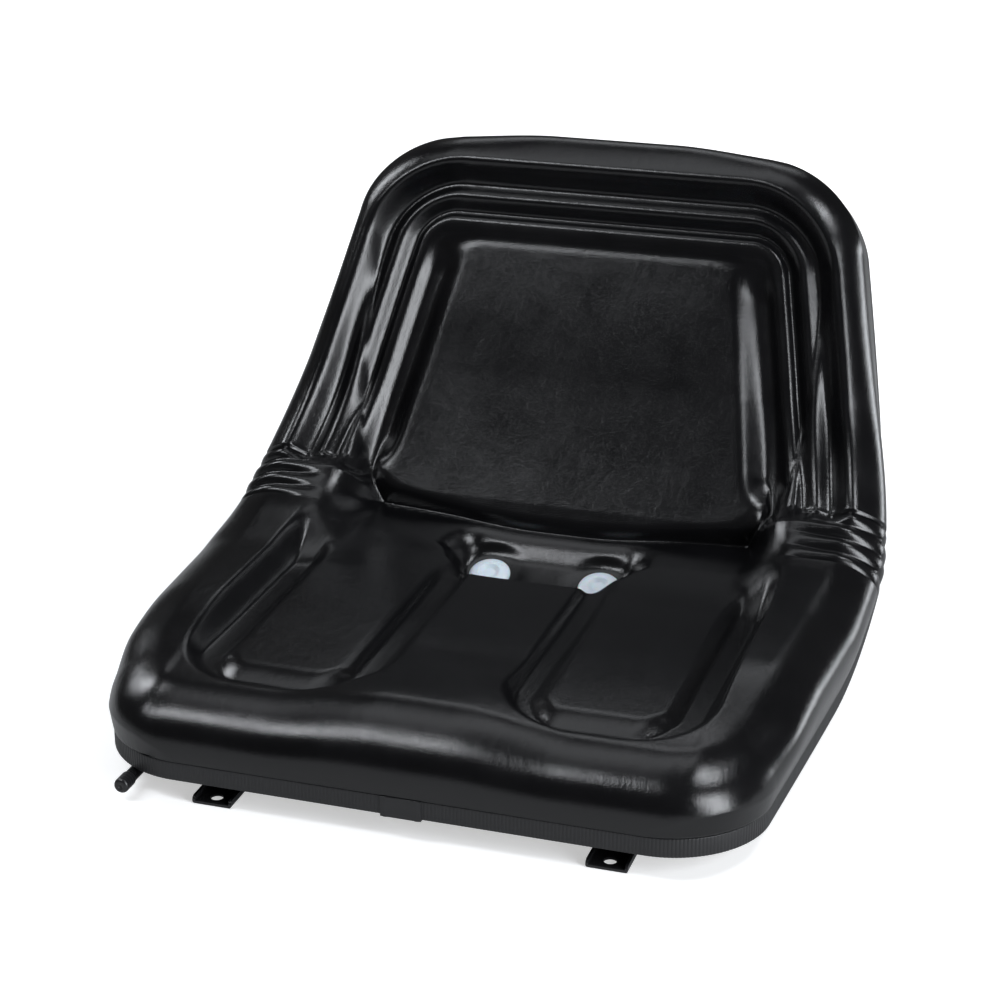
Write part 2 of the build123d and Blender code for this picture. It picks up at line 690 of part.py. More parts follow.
def lock_lever():
    """Latch plate with its tooth, and the handle rod welded to it."""
    rail_side = -rail_x - rail_width / 2 - tooth_stand
    tooth_y = pivot_y - tooth_reach
    r = pin_head_d
    rod_end = lever_tip_y + lever_rod_length
    edge = lever_rod_d / 4
    with BuildSketch() as plate:
        with BuildLine():
            Polyline(
                (pivot_x + r, pivot_y),
                (pivot_x + r, pivot_y + r),
                (pivot_x - r, pivot_y + r),
                (lever_x - edge, rod_end - 8),
                (lever_x - edge, rod_end - 30),
                (lever_x + edge, rod_end - 30),
                (pivot_x - 2, tooth_y - tooth_width * 2),
                (pivot_x + r / 2, tooth_y - tooth_width / 2),
                (rail_side, tooth_y - tooth_width / 2),
                (rail_side, tooth_y + tooth_width / 2),
                (pivot_x + r / 2, tooth_y + tooth_width / 2),
                close=True,
            )
        make_face()
        with Locations((pivot_x, pivot_y)):
            Circle(pin_d / 2 + pin_gap, mode=Mode.SUBTRACT)
    body = Pos(0, 0, lever_z - lever_plate / 2) * extrude(plate.sketch, amount=lever_plate)
    rod = Pos(lever_x, lever_tip_y, lever_z) * Rot(-90, 0, 0) * Cylinder(
        lever_rod_d / 2, lever_rod_length, align=(Align.CENTER, Align.CENTER, Align.MIN)
    )
    return body + rod


def lever_cap():
    """Moulded cap on the handle's end, with a small dimple."""
    r = lever_rod_d / 2 + cap_wall
    end = cap_wall * 2
    low = (Align.CENTER, Align.CENTER, Align.MIN)
    cap = Cylinder(r, cap_length, align=low)
    cap = fillet(cap.edges().group_by(Axis.Z)[0], r * 0.45)
    cap = cap - Pos(0, 0, end) * Cylinder(lever_rod_d / 2, cap_length, align=low)
    cap = cap - Sphere(cap_wall)
    return Pos(lever_x, lever_tip_y - end, lever_z) * Rot(-90, 0, 0) * cap


def seat_cushion():
    """Cushion with a seat for each drain plug."""
    body = drained(cushion_body(), plug_d + 2 * plug_clear, plug_seat, 90)
    return drained(body, plug_stem_d + 2 * plug_clear, -20, 40)


os.makedirs("parts", exist_ok=True)

nodes = {
    "cushion": seat_cushion(),
    "seat_pan": pan_body(),
    "edge_trim": trim_body(),
    "trim_joint_clip": clip_body(),
    "drain_plug_left": plug_body(-plug_x),
    "drain_plug_right": plug_body(plug_x),
    "upper_rail_left": upper_rail(-rail_x),
    "upper_rail_right": upper_rail(rail_x),
    "lower_rail_left": lower_rail(-rail_x, True),
    "lower_rail_right": lower_rail(rail_x, False),
    "rail_glides_left": glides(-rail_x),
    "rail_glides_right": glides(rail_x),
    "pan_studs": studs(),
    "stud_washers": washers(),
    "stud_nuts": nuts(),
    "latch_bracket": bracket(),
    "bracket_rivets": rivets(),
    "lever_pivot_pin": pivot_pin(),
    "lock_lever": lock_lever(),
    "lever_cap": lever_cap(),
}
nodes["upper_rail_left"] = nodes["upper_rail_left"] - rivet_holes()

for name, shape in nodes.items():
    export_step(shape, f"parts/{name}.step")
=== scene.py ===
"""Tractor seat on slide rails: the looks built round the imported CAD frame.

Every length is in millimetres inside the shape classes and turns into metres when a mesh is made.
The seat faces -Y, +Z is up, and the origin is the middle of the floor bolt pattern.
"""
from __future__ import annotations

import logging
import math
from dataclasses import dataclass, field
from enum import Enum

import bmesh
import bpy
import numpy as np
from mathutils import Matrix, Vector

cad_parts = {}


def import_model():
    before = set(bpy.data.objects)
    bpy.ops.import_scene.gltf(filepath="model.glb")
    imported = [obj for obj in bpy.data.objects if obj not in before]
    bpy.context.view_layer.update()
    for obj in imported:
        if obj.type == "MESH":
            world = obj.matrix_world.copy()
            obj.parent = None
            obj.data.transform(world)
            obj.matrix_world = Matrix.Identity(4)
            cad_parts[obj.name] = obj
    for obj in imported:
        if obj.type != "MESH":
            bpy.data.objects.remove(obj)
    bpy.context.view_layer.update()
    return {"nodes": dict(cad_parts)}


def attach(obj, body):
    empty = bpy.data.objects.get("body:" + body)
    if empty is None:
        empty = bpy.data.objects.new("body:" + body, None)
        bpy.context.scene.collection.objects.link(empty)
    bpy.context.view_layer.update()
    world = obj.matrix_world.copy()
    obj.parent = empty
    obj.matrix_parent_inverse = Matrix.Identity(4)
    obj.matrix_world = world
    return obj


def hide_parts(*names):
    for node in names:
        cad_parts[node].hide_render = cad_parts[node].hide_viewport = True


LOG = logging.getLogger("tractor_seat")
MM = 0.001
TINY = 1e-9
QUARTER = np.pi / 2
WHITE = (1.0, 1.0, 1.0, 1.0)

# Least radius of a turned piece, where a small face closes its end
POLE = 0.001

# Noise values at which a finish has its low and its high roughness
CLOUD_SPAN = (0.3, 0.7)

Numbers = float | np.ndarray
Triple = tuple[float, float, float]


class Body(str, Enum):
    """Rigid bodies of the CAD frame that new pieces ride on."""

    SEAT = "seat"
    LEVER = "lever"


def ease(t: Numbers) -> Numbers:
    """Smooth step: 3t^2 - 2t^3 on t held between 0 and 1."""
    t = np.clip(t, 0.0, 1.0)
    return t * t * (3.0 - 2.0 * t)


def mix(a: Numbers, b: Numbers, t: Numbers) -> Numbers:
    """Value between a and b at the share t."""
    return a + (b - a) * t


def hump(t: Numbers, width: float) -> Numbers:
    """Bell curve exp(-(t / width)^2)."""
    return np.exp(-((t / width) ** 2))


def round_up(t: Numbers) -> Numbers:
    """Quarter circle from 0 to 1: sqrt(1 - (1 - t)^2) on t held between 0 and 1."""
    t = np.clip(t, 0.0, 1.0)
    return np.sqrt(np.maximum(1.0 - (1.0 - t) ** 2, 0.0))


@dataclass(frozen=True)
class Blend:
    """Smooth change from 0 to 1 that starts at a place and takes a run; a negative run goes downward."""

    start: float
    run: float

    def at(self, t: Numbers) -> Numbers:
        """Smooth step of (t - start) / run."""
        return ease((t - self.start) / self.run)

    def fade(self, t: Numbers) -> Numbers:
        """The same change from 1 to 0."""
        return 1.0 - self.at(t)


@dataclass
class PanPath:
    """Developed surface of the pan: path length s along the middle, x across, height h off the pan."""

    front_edge: float = -168.9
    pan_height: float = 34.0
    seat_flat: float = 248.6
    bend_r: float = 249.2
    lean_deg: float = 25.3
    back_flat: float = 196.5
    front_half: float = 241.0
    hip_half: float = 263.5
    top_half: float = 201.3
    front_r: float = 68.0
    top_r: float = 70.0

    # Shares of a straight line and of a curve in the side line
    side_line: float = 0.7
    side_curve: float = 0.3

    # Points of the outline before it is spaced evenly
    corner_points: int = 40
    side_points: int = 200

    @property
    def bend(self) -> float:
        """Angle turned between the seat and the back."""
        return math.radians(90.0 - self.lean_deg)

    @property
    def length(self) -> float:
        """Path length from the front edge to the top edge."""
        return self.seat_flat + self.bend_r * self.bend + self.back_flat

    @property
    def hip(self) -> float:
        """Path length of the widest place."""
        return self.seat_flat + self.bend_r * self.bend / 2

    def turn(self, s: np.ndarray) -> np.ndarray:
        """Angle turned at a path length: (s - seat flat) / R, held between 0 and the whole bend."""
        return np.clip((s - self.seat_flat) / self.bend_r, 0.0, self.bend)

    def point(self, x: Numbers, s: Numbers, h: Numbers) -> np.ndarray:
        """Points in space: straight seat, circular bend and straight back, offset by h along the normal.

        Args:
            x: places across.
            s: path lengths.
            h: heights off the pan.

        Returns:
            Array with a last axis of X, Y, Z in millimetres.
        """
        x, s, h = np.broadcast_arrays(np.asarray(x, float), np.asarray(s, float), np.asarray(h, float))
        turn = self.turn(s)
        before = np.minimum(s, self.seat_flat)
        after = np.maximum(s - self.seat_flat - self.bend_r * self.bend, 0.0)
        y = self.front_edge + before + (self.bend_r - h) * np.sin(turn) + after * np.cos(turn)
        z = self.pan_height + self.bend_r - (self.bend_r - h) * np.cos(turn) + after * np.sin(turn)
        return np.stack([x, y, z], axis=-1)

    def straight(self, s: np.ndarray, h: np.ndarray, share: np.ndarray, back: bool) -> np.ndarray:
        """Height that keeps a face straight across the bend: R - (R - h) / cos(angle to the straight end).

        Args:
            s: path lengths.
            h: heights above the straight stretch.
            share: how much of the bend is straightened, 0 to 1.
            back: straighten from the back instead of the seat.

        Returns:
            Heights above the curved pan.
        """
        turn = self.turn(s)
        angle = (self.bend - turn if back else turn) * share
        return self.bend_r - (self.bend_r - h) / np.cos(angle)

    def side_half(self, s: np.ndarray) -> np.ndarray:
        """Half width of the side line: a line plus a quarter sine up to the hips, a quarter cosine after.

        Args:
            s: path lengths.

        Returns:
            Half widths, widest at the hips.
        """
        t = np.clip(s / self.hip, 0.0, 1.0)
        low = mix(self.front_half, self.hip_half, self.side_line * t + self.side_curve * np.sin(QUARTER * t))
        t = np.clip((s - self.hip) / (self.length - self.hip), 0.0, 1.0)
        curve = 1.0 - np.cos(QUARTER * t)
        high = mix(self.hip_half, self.top_half, self.side_line * t + self.side_curve * curve)
        return np.where(s < self.hip, low, high)

    def half_width(self, s: np.ndarray, inset: float) -> np.ndarray:
        """Half width of the rim outline: the side line less r - sqrt(r^2 - c^2) at the front and top corners.

        Args:
            s: path lengths.
            inset: distance inside the rim.

        Returns:
            Half widths at those path lengths.
        """
        w = self.side_half(s) - inset
        for corner, near in ((self.front_r, s), (self.top_r, self.length - s)):
            r = corner - inset
            c = np.clip(r - (near - inset), 0.0, r)
            w = w - r + np.sqrt(r * r - c * c)
        return w

    def rim_distance(self, x: np.ndarray, s: np.ndarray) -> np.ndarray:
        """Distance inside the rim: the least to its sides, or r less the distance to a corner's middle.

        Args:
            x: places across.
            s: path lengths.

        Returns:
            Distances, negative outside the rim.
        """
        x = np.abs(x)
        low_x = float(self.side_half(np.array(self.front_r))) - self.front_r
        high_s = self.length - self.top_r
        high_x = float(self.side_half(np.array(high_s))) - self.top_r
        low = self.front_r - np.hypot(x - low_x, s - self.front_r)
        high = self.top_r - np.hypot(x - high_x, s - high_s)
        d = np.minimum(np.minimum(self.side_half(s) - x, s), self.length - s)
        d = np.where((s < self.front_r) & (x > low_x), low, d)
        return np.where((s > high_s) & (x > high_x), high, d)

    def outline(self, inset: float, step: float) -> tuple[np.ndarray, np.ndarray]:
        """Rim outline from the front middle round the right side, the top and the left side and back.

        Args:
            inset: distance inside the rim.
            step: spacing along the outline.

        Returns:
            x and s of evenly spaced points.
        """
        turn = np.linspace(0.0, QUARTER, self.corner_points)
        rf, rt = self.front_r - inset, self.top_r - inset
        s_low = inset + rf - rf * np.cos(turn)
        s_high = self.length - inset - rt + rt * np.sin(turn)
        s_mid = np.linspace(s_low[-1], s_high[0], self.side_points)[1:-1]
        s = np.concatenate([s_low, s_mid, s_high])
        x = self.half_width(s, inset)
        s = np.concatenate([[inset], s, [self.length - inset]])
        x = np.concatenate([[0.0], x, [0.0]])
        s = np.concatenate([s, s[-2::-1]])
        x = np.concatenate([x, -x[-2::-1]])
        run = path_run(x, s)
        even = np.linspace(0.0, run[-1], int(run[-1] / step) + 1)
        return np.interp(even, run, x), np.interp(even, run, s)


def path_run(x: np.ndarray, s: np.ndarray) -> np.ndarray:
    """Length along a line of points from its start: running sum of the steps' lengths."""
    return np.concatenate([[0.0], np.cumsum(np.hypot(np.diff(x), np.diff(s)))])


def inside_box(x: np.ndarray, s: np.ndarray, box: tuple[float, float, float, float], r: float) -> np.ndarray:
    """Distance inside a box with round corners: r less the length of what lies past the corners' middles.

    Args:
        x: places across.
        s: path lengths.
        box: x from, x to, s from, s to.
        r: corner radius.

    Returns:
        Signed distance, positive inside.
    """
    x0, x1, s0, s1 = box
    dx = np.abs(x - (x0 + x1) / 2) - (x1 - x0) / 2 + r
    ds = np.abs(s - (s0 + s1) / 2) - (s1 - s0) / 2 + r
    past = np.hypot(np.maximum(dx, 0.0), np.maximum(ds, 0.0))
    return r - past - np.minimum(np.maximum(dx, ds), 0.0)


def grid_quads(rows: int, cols: int, close_cols: bool = False) -> np.ndarray:
    """Quads of a grid whose vertices run row by row.

    Args:
        rows: number of vertex rows.
        cols: number of vertices in a row.
        close_cols: join the last column to the first.

    Returns:
        Array of four vertex numbers per quad.
    """
    i, j = np.meshgrid(np.arange(rows - 1), np.arange(cols if close_cols else cols - 1), indexing="ij")
    k = (j + 1) % cols
    this, after = i * cols, (i + 1) * cols
    return np.stack([this + j, this + k, after + k, after + j], axis=-1).reshape(-1, 4)


def mesh_piece(
    name: str, points: np.ndarray, quads: np.ndarray, extra: list[list[int]] | None = None
) -> bpy.types.Object:
    """Smooth mesh object at the origin from points in millimetres, its faces turned outward.

    Args:
        name: name of the piece.
        points: vertex places, any leading shape.
        quads: vertex numbers of the quads.
        extra: further faces.

    Returns:
        The new object, linked to the scene.
    """
    mesh = bpy.data.meshes.new(name)
    faces = quads.tolist() + (extra or [])
    mesh.from_pydata((points.reshape(-1, 3) * MM).tolist(), [], faces)
    mesh.polygons.foreach_set("use_smooth", np.ones(len(mesh.polygons), dtype=bool))
    work = bmesh.new()
    work.from_mesh(mesh)
    bmesh.ops.recalc_face_normals(work, faces=work.faces)
    work.to_mesh(mesh)
    work.free()
    mesh.update()
    obj = bpy.data.objects.new(name, mesh)
    bpy.context.scene.collection.objects.link(obj)
    return obj


def swept_piece(name: str, sections: np.ndarray) -> bpy.types.Object:
    """Closed solid through sections that are closed loops, with a flat cap at each end.

    Args:
        name: name of the piece.
        sections: array of section, loop point and X, Y, Z in millimetres.

    Returns:
        The new object.
    """
    rows, cols = sections.shape[:2]
    last = (rows - 1) * cols
    caps = [list(range(cols)), list(range(last, last + cols))[::-1]]
    return mesh_piece(name, sections, grid_quads(rows, cols, True)[:, ::-1], caps)


def turned_piece(
    name: str, profile: np.ndarray, count: int, origin: np.ndarray, axis: np.ndarray
) -> bpy.types.Object:
    """Solid of a profile turned round an axis: origin + radius times spoke + height times axis.

    Args:
        name: name of the piece.
        profile: radius and height pairs, from one end of the axis to the other.
        count: number of places round the axis.
        origin: foot of the axis.
        axis: unit vector along the axis, square to X.

    Returns:
        The new object.
    """
    angle = np.linspace(0.0, 2.0 * np.pi, count, endpoint=False)
    side = np.array([1.0, 0.0, 0.0])
    spoke = np.cos(angle)[:, None] * side + np.sin(angle)[:, None] * np.cross(axis, side)
    points = origin + profile[:, 0, None, None] * spoke + profile[:, 1, None, None] * axis
    rows, cols = points.shape[:2]
    last = (rows - 1) * cols
    caps = [list(range(cols)), list(range(last, last + cols))]
    return mesh_piece(name, points, grid_quads(rows, cols, True), caps)


def round_corners(points: np.ndarray, radius: float, steps: int = 4, most: float = 0.45) -> np.ndarray:
    """Closed polygon with each corner replaced by a short curve that starts and ends on its sides.

    Args:
        points: corner places, two columns.
        radius: length of each side that the curve takes.
        steps: pieces per curve.
        most: largest share of a side that a curve may take.

    Returns:
        Points of the rounded polygon, B(t) = (1-t)^2 a + 2t(1-t) corner + t^2 b at each corner.
    """
    before, after = np.roll(points, 1, axis=0), np.roll(points, -1, axis=0)
    to_a, to_b = before - points, after - points
    len_a = np.linalg.norm(to_a, axis=1, keepdims=True)
    len_b = np.linalg.norm(to_b, axis=1, keepdims=True)
    a = points + to_a * np.minimum(radius / len_a, most)
    b = points + to_b * np.minimum(radius / len_b, most)
    u = np.linspace(0.0, 1.0, steps + 1)[None, :, None]
    curve = (1 - u) ** 2 * a[:, None] + 2 * u * (1 - u) * points[:, None] + u ** 2 * b[:, None]
    return curve.reshape(-1, points.shape[1])


def place(
    obj: bpy.types.Object, body: Body, slot: str, finish: bpy.types.Material, *nodes: str
) -> None:
    """Dress a piece, put it on its body and let it stand for its CAD nodes.

    Args:
        obj: the piece.
        body: body that it rides on.
        slot: name of its material slot; not used.
        finish: its material.
        nodes: CAD nodes that it replaces.
    """
    obj.data.materials.append(finish)
    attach(obj, body.value)
    if nodes:
        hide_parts(*nodes)
    LOG.info("piece %s: %d faces on %s", obj.name, len(obj.data.polygons), body.value)


class NodeTree:
    """Small helper that adds and joins shader nodes of one material."""

    def __init__(self, name: str) -> None:
        """Make the material and keep its principled shader.

        Args:
            name: name of the material.
        """
        self.material = bpy.data.materials.new(name)
        self.material.use_nodes = True
        self.nodes = self.material.node_tree.nodes
        self.links = self.material.node_tree.links
        self.shader = self.nodes["Principled BSDF"]
        self.coords = self.nodes.new("ShaderNodeTexCoord").outputs["Object"]

    def add(self, kind: str, **values: object) -> bpy.types.Node:
        """Add a node.

        Args:
            kind: Blender's name of the node type.
            values: keys that name a socket set it, the others set a property.

        Returns:
            The new node.
        """
        node = self.nodes.new(kind)
        for key, value in values.items():
            if key in node.inputs:
                node.inputs[key].default_value = value
            else:
                setattr(node, key, value)
        return node

    def join(self, out: bpy.types.NodeSocket, socket: bpy.types.NodeSocket) -> None:
        """Link an output to an input."""
        self.links.new(out, socket)

    def feed(self, socket: str, out: bpy.types.NodeSocket) -> None:
        """Link an output to a socket of the shader."""
        self.join(out, self.shader.inputs[socket])

    def fix(self, socket: str, value: float | tuple) -> None:
        """Set a socket of the shader to one value all over."""
        self.shader.inputs[socket].default_value = value

    def noise(
        self, scale: float, detail: float, rough: float = 0.55, stretch: Triple | None = None
    ) -> bpy.types.NodeSocket:
        """Noise in object space.

        Args:
            scale: waves per metre.
            detail: octaves.
            rough: strength of the finer octaves.
            stretch: scale of the coordinates.

        Returns:
            Output with the noise value.
        """
        node = self.add("ShaderNodeTexNoise", Scale=scale, Detail=detail, Roughness=rough)
        self.join(self.stretched(stretch), node.inputs["Vector"])
        return node.outputs["Fac"]

    def cells(self, scale: float) -> bpy.types.NodeSocket:
        """Voronoi cells in object space.

        Args:
            scale: cells per metre.

        Returns:
            Output with the distance to the nearest cell edge.
        """
        node = self.add("ShaderNodeTexVoronoi", feature="DISTANCE_TO_EDGE", Scale=scale)
        self.join(self.coords, node.inputs["Vector"])
        return node.outputs["Distance"]

    def stretched(self, stretch: Triple | None) -> bpy.types.NodeSocket:
        """Object coordinates, scaled where asked.

        Args:
            stretch: scale along each axis, or none.

        Returns:
            Output with the coordinates.
        """
        if stretch is None:
            return self.coords
        node = self.add("ShaderNodeMapping", Scale=stretch)
        self.join(self.coords, node.inputs["Vector"])
        return node.outputs["Vector"]

    def ramp(
        self, value: bpy.types.NodeSocket, span: tuple[float, float], to: tuple[float, float]
    ) -> bpy.types.NodeSocket:
        """Map a value from one range to another.

        Args:
            value: output to map.
            span: range that it comes from.
            to: range that it goes to.

        Returns:
            Output with the result.
        """
        node = self.add("ShaderNodeMapRange")
        for key, number in zip(("From Min", "From Max", "To Min", "To Max"), (*span, *to)):
            node.inputs[key].default_value = number
        self.join(value, node.inputs["Value"])
        return node.outputs["Result"]

    def tint(self, value: bpy.types.NodeSocket, low: Triple, high: Triple) -> bpy.types.NodeSocket:
        """Colour between two tones.

        Args:
            value: output that gives the share of the high tone.
            low: tone at 0.
            high: tone at 1.

        Returns:
            Output with the colour.
        """
        node = self.add("ShaderNodeMix", data_type="RGBA")
        for socket in node.inputs:
            if socket.type == "RGBA":
                socket.default_value = (*low, 1.0) if socket.name == "A" else (*high, 1.0)
        self.join(value, node.inputs["Factor"])
        return next(o for o in node.outputs if o.type == "RGBA")

    def bump(
        self, height: bpy.types.NodeSocket, depth: float, strength: float,
        under: bpy.types.NodeSocket | None = None,
    ) -> bpy.types.NodeSocket:
        """Bump from a height.

        Args:
            height: output with the height, 0 to 1.
            depth: height of 1 in metres.
            strength: share of the bump that shows.
            under: normal that it lies on.

        Returns:
            Output with the normal.
        """
        node = self.add("ShaderNodeBump", Strength=strength, Distance=depth)
        self.join(height, node.inputs["Height"])
        if under is not None:
            self.join(under, node.inputs["Normal"])
        return node.outputs["Normal"]


@dataclass(frozen=True)
class VinylFinish:
    """Semi-gloss black vinyl with a fine leather grain and slight unevenness; depths are in metres."""

    name: str = "black_vinyl"
    dark: Triple = (0.0022, 0.0022, 0.0026)
    light: Triple = (0.0040, 0.0040, 0.0046)
    rough: tuple[float, float] = (0.17, 0.24)
    specular: float = 0.5
    cloud_scale: float = 24.0
    cloud_detail: float = 4.0
    crease_scale: float = 150.0
    crease_detail: float = 5.0
    crease_rough: float = 0.62
    crease_stretch: Triple = (1.0, 0.35, 0.35)
    crease_depth: float = 0.0006
    crease_strength: float = 0.38
    grain_scale: float = 620.0
    grain_depth: float = 0.00022
    grain_strength: float = 0.5
    fine_scale: float = 1500.0
    fine_detail: float = 2.0
    fine_depth: float = 0.0001
    fine_strength: float = 0.35

    def build(self) -> bpy.types.Material:
        """Grain from Voronoi cells and noise, long creases from stretched noise.

        Returns:
            The material.
        """
        t = NodeTree(self.name)
        cloud = t.noise(self.cloud_scale, self.cloud_detail)
        t.feed("Base Color", t.tint(cloud, self.dark, self.light))
        t.feed("Roughness", t.ramp(cloud, CLOUD_SPAN, self.rough))
        crease = t.noise(self.crease_scale, self.crease_detail, self.crease_rough, self.crease_stretch)
        creased = t.bump(crease, self.crease_depth, self.crease_strength)
        grained = t.bump(t.cells(self.grain_scale), self.grain_depth, self.grain_strength, creased)
        fine = t.noise(self.fine_scale, self.fine_detail)
        t.feed("Normal", t.bump(fine, self.fine_depth, self.fine_strength, grained))
        t.fix("Specular IOR Level", self.specular)
        return t.material


@dataclass(frozen=True)
class PlainFinish:
    """Paint, plastic, rubber or plated steel with a soft unevenness; depths are in metres."""

    name: str
    dark: Triple
    light: Triple
    rough: float
    spread: float
    metallic: float = 0.0
    coat: float = 0.0
    subsurface: float = 0.0
    subsurface_depth: float = 0.004
    cloud_scale: float = 60.0
    cloud_detail: float = 3.0
    grain_scale: float = 900.0
    grain_detail: float = 2.0
    grain_depth: float = 0.00006
    grain_strength: float = 0.4

    def build(self) -> bpy.types.Material:
        """Tone and roughness from clouds of noise, bump from a fine noise.

        Returns:
            The material.
        """
        t = NodeTree(self.name)
        cloud = t.noise(self.cloud_scale, self.cloud_detail)
        t.feed("Base Color", t.tint(cloud, self.dark, self.light))
        t.feed("Roughness", t.ramp(cloud, CLOUD_SPAN, (self.rough - self.spread, self.rough + self.spread)))
        grain = t.noise(self.grain_scale, self.grain_detail)
        t.feed("Normal", t.bump(grain, self.grain_depth, self.grain_strength))
        t.fix("Metallic", self.metallic)
        t.fix("Coat Weight", self.coat)
        t.fix("Subsurface Weight", self.subsurface)
        t.fix("Subsurface Scale", self.subsurface_depth)
        return t.material


BLACK = (0.010, 0.010, 0.011)
SOFT_BLACK = (0.016, 0.016, 0.017)
PAINT = PlainFinish("gloss_black_paint", BLACK, SOFT_BLACK, rough=0.22, spread=0.05, coat=0.3)
PAN_PAINT = PlainFinish(
    "pan_black_paint", (0.014, 0.014, 0.014), (0.022, 0.022, 0.022),
    rough=0.45, spread=0.08, grain_scale=500.0,
)
RUBBER = PlainFinish("ribbed_trim", BLACK, SOFT_BLACK, rough=0.46, spread=0.06)
CLIP = PlainFinish("clip_plastic", BLACK, (0.015, 0.015, 0.016), rough=0.40, spread=0.05)
MILKY = PlainFinish(
    "milky_plastic", (0.56, 0.64, 0.70), (0.66, 0.72, 0.77), rough=0.30, spread=0.05, subsurface=0.35
)
NYLON = PlainFinish("natural_nylon", (0.72, 0.70, 0.64), (0.78, 0.76, 0.71), rough=0.4, spread=0.05)
ZINC = PlainFinish(
    "zinc_plate", (0.55, 0.55, 0.52), (0.66, 0.66, 0.64), rough=0.32, spread=0.08, metallic=1.0
)
CAP = PlainFinish("moulded_cap", BLACK, SOFT_BLACK, rough=0.32, spread=0.05)


@dataclass
class Cushion:
    """Foam cushion in its vinyl skin, as a height over the pan's developed surface.

    Crowns and floors are heights off the pan. A blend runs along the path, or across where its note says so.
    """

    path: PanPath

    # Rolls that drop the skin round the rim
    roll_front: float = 44.0
    roll_side: float = 30.0
    roll_back: float = 34.0
    roll_to_side: Blend = Blend(30.0, 80.0)
    roll_to_back: Blend = Blend(330.0, 80.0)
    roll_pommel: float = 6.0
    roll_pommel_width: float = 80.0
    roll_pommel_end: Blend = Blend(60.0, 60.0)
    roll_corner: float = 14.0
    corner_gain: float = 2.0

    # Bulge of the skin past the rim
    bulge_front: float = 4.0
    bulge_side: float = 10.0
    bulge_back: float = 6.0
    bulge_top: float = 8.0
    bulge_to_side: Blend = Blend(40.0, 80.0)
    bulge_to_back: Blend = Blend(260.0, 120.0)
    bulge_to_top: Blend = Blend(430.0, 180.0)
    bulge_height: float = 80.0
    bulge_back_height: float = 48.0
    bulge_to_low: Blend = Blend(300.0, 100.0)
    bulge_reach: float = 14.0
    slope_step: float = 0.5

    # Share of the top bulge, across
    bulge_middle: Blend = Blend(170.0, -120.0)

    # Crests of the seat
    thigh_crown: float = 47.0
    side_crown: float = 63.0
    hip_crown: float = 56.0
    lobe_crown: float = 50.0
    pommel_crown: float = 55.0
    tongue_crown: float = 46.0
    side_rise: Blend = Blend(40.0, 130.0)
    hip_change: Blend = Blend(280.0, 90.0)
    lobe_change: Blend = Blend(60.0, 260.0)
    tongue_change: Blend = Blend(45.0, 105.0)
    lobe_lift: float = 1.0
    lobe_end: Blend = Blend(335.0, 50.0)

    # Side bolsters and pommel, across
    bolster: Blend = Blend(150.0, 50.0)
    pommel: Blend = Blend(110.0, -85.0)

    # Thigh pockets: x from, x to, s from, s to
    pocket: tuple[float, float, float, float] = (44.0, 203.0, 44.0, 420.0)
    pocket_r: float = 62.0
    pocket_floor: float = 39.5
    pocket_wall: float = 15.0
    tongue_wall: float = 8.0
    pocket_end: Blend = Blend(270.0, 82.0)

    # Change from the tongue's wall to the pocket's, across
    wall_change: Blend = Blend(80.0, 50.0)

    # Thigh pads in the pockets: x from, x to, s from, s to
    pad: tuple[float, float, float, float] = (66.0, 174.0, 70.0, 400.0)
    pad_r: float = 28.0
    pad_rise: float = 7.5
    pad_round: float = 13.0
    pad_front: float = 84.0
    pad_front_pull: float = 0.55
    pad_end: Blend = Blend(268.0, 64.0)

    # Trough by the drains
    trough_start: Blend = Blend(286.0, 40.0)
    trough_end: Blend = Blend(356.0, 44.0)
    trough_half: float = 70.0
    trough_flare: float = 22.0
    trough_widen: Blend = Blend(320.0, 30.0)
    trough_side: float = 34.0
    trough_floor: float = 5.0

    # Flat middle between the bolsters, across
    flat: Blend = Blend(215.0, -60.0)
    flat_back: float = 0.9

    # Join of the seat and the back
    meet: float = 3.0
    least: float = 3.0
    side_join: Blend = Blend(345.0, 45.0)

    # Rings of the back, with changes by distance inside the rim
    back_crown: float = 54.0
    valley: float = 34.0
    bead: float = 38.5
    groove: float = 29.0
    shoulder: float = 35.0
    to_valley: Blend = Blend(20.0, 21.0)
    to_bead: Blend = Blend(40.0, 11.0)
    to_groove: Blend = Blend(51.0, 14.0)
    to_shoulder: Blend = Blend(63.0, 7.0)
    to_panel: Blend = Blend(73.0, 14.0)
    ring_corner: float = 92.0
    ring_out: float = 3.0
    ring_start: Blend = Blend(402.0, 30.0)

    # Pillow panel of the back
    panel_inset: float = 88.0
    panel_low: float = 384.0
    panel_sag: float = 16.0
    panel_sag_half: float = 150.0
    panel_r: float = 34.0
    panel_rise: float = 33.0
    panel_lumbar: float = 12.0
    panel_lumbar_run: float = 240.0
    panel_edge: float = 6.0
    panel_edge_run: float = 40.0
    panel_top: float = 78.0
    panel_top_pull: float = 1.7
    panel_round: float = 16.0
    panel_side: float = 23.0
    panel_side_start: Blend = Blend(20.0, 40.0)

    # Face of the back under the panel, its side change across
    low_back: float = 4.0
    low_back_run: float = 30.0
    low_back_side: Blend = Blend(125.0, 60.0)

    # Gathers at the bend, with a reach by distance inside the rim
    gather_s: float = 366.0
    gather_pitch: float = 17.3
    gather_count: int = 4
    gather_depth: float = 5.0
    gather_pinch: float = 0.5
    gather_reach: Blend = Blend(74.0, -44.0)

    # Seats of the drain plugs, with a well by distance from the plug's middle
    plug_x: float = 46.0
    plug_s: float = 342.0
    plug_seat: float = 4.0
    plug_well: Blend = Blend(33.0, -14.0)

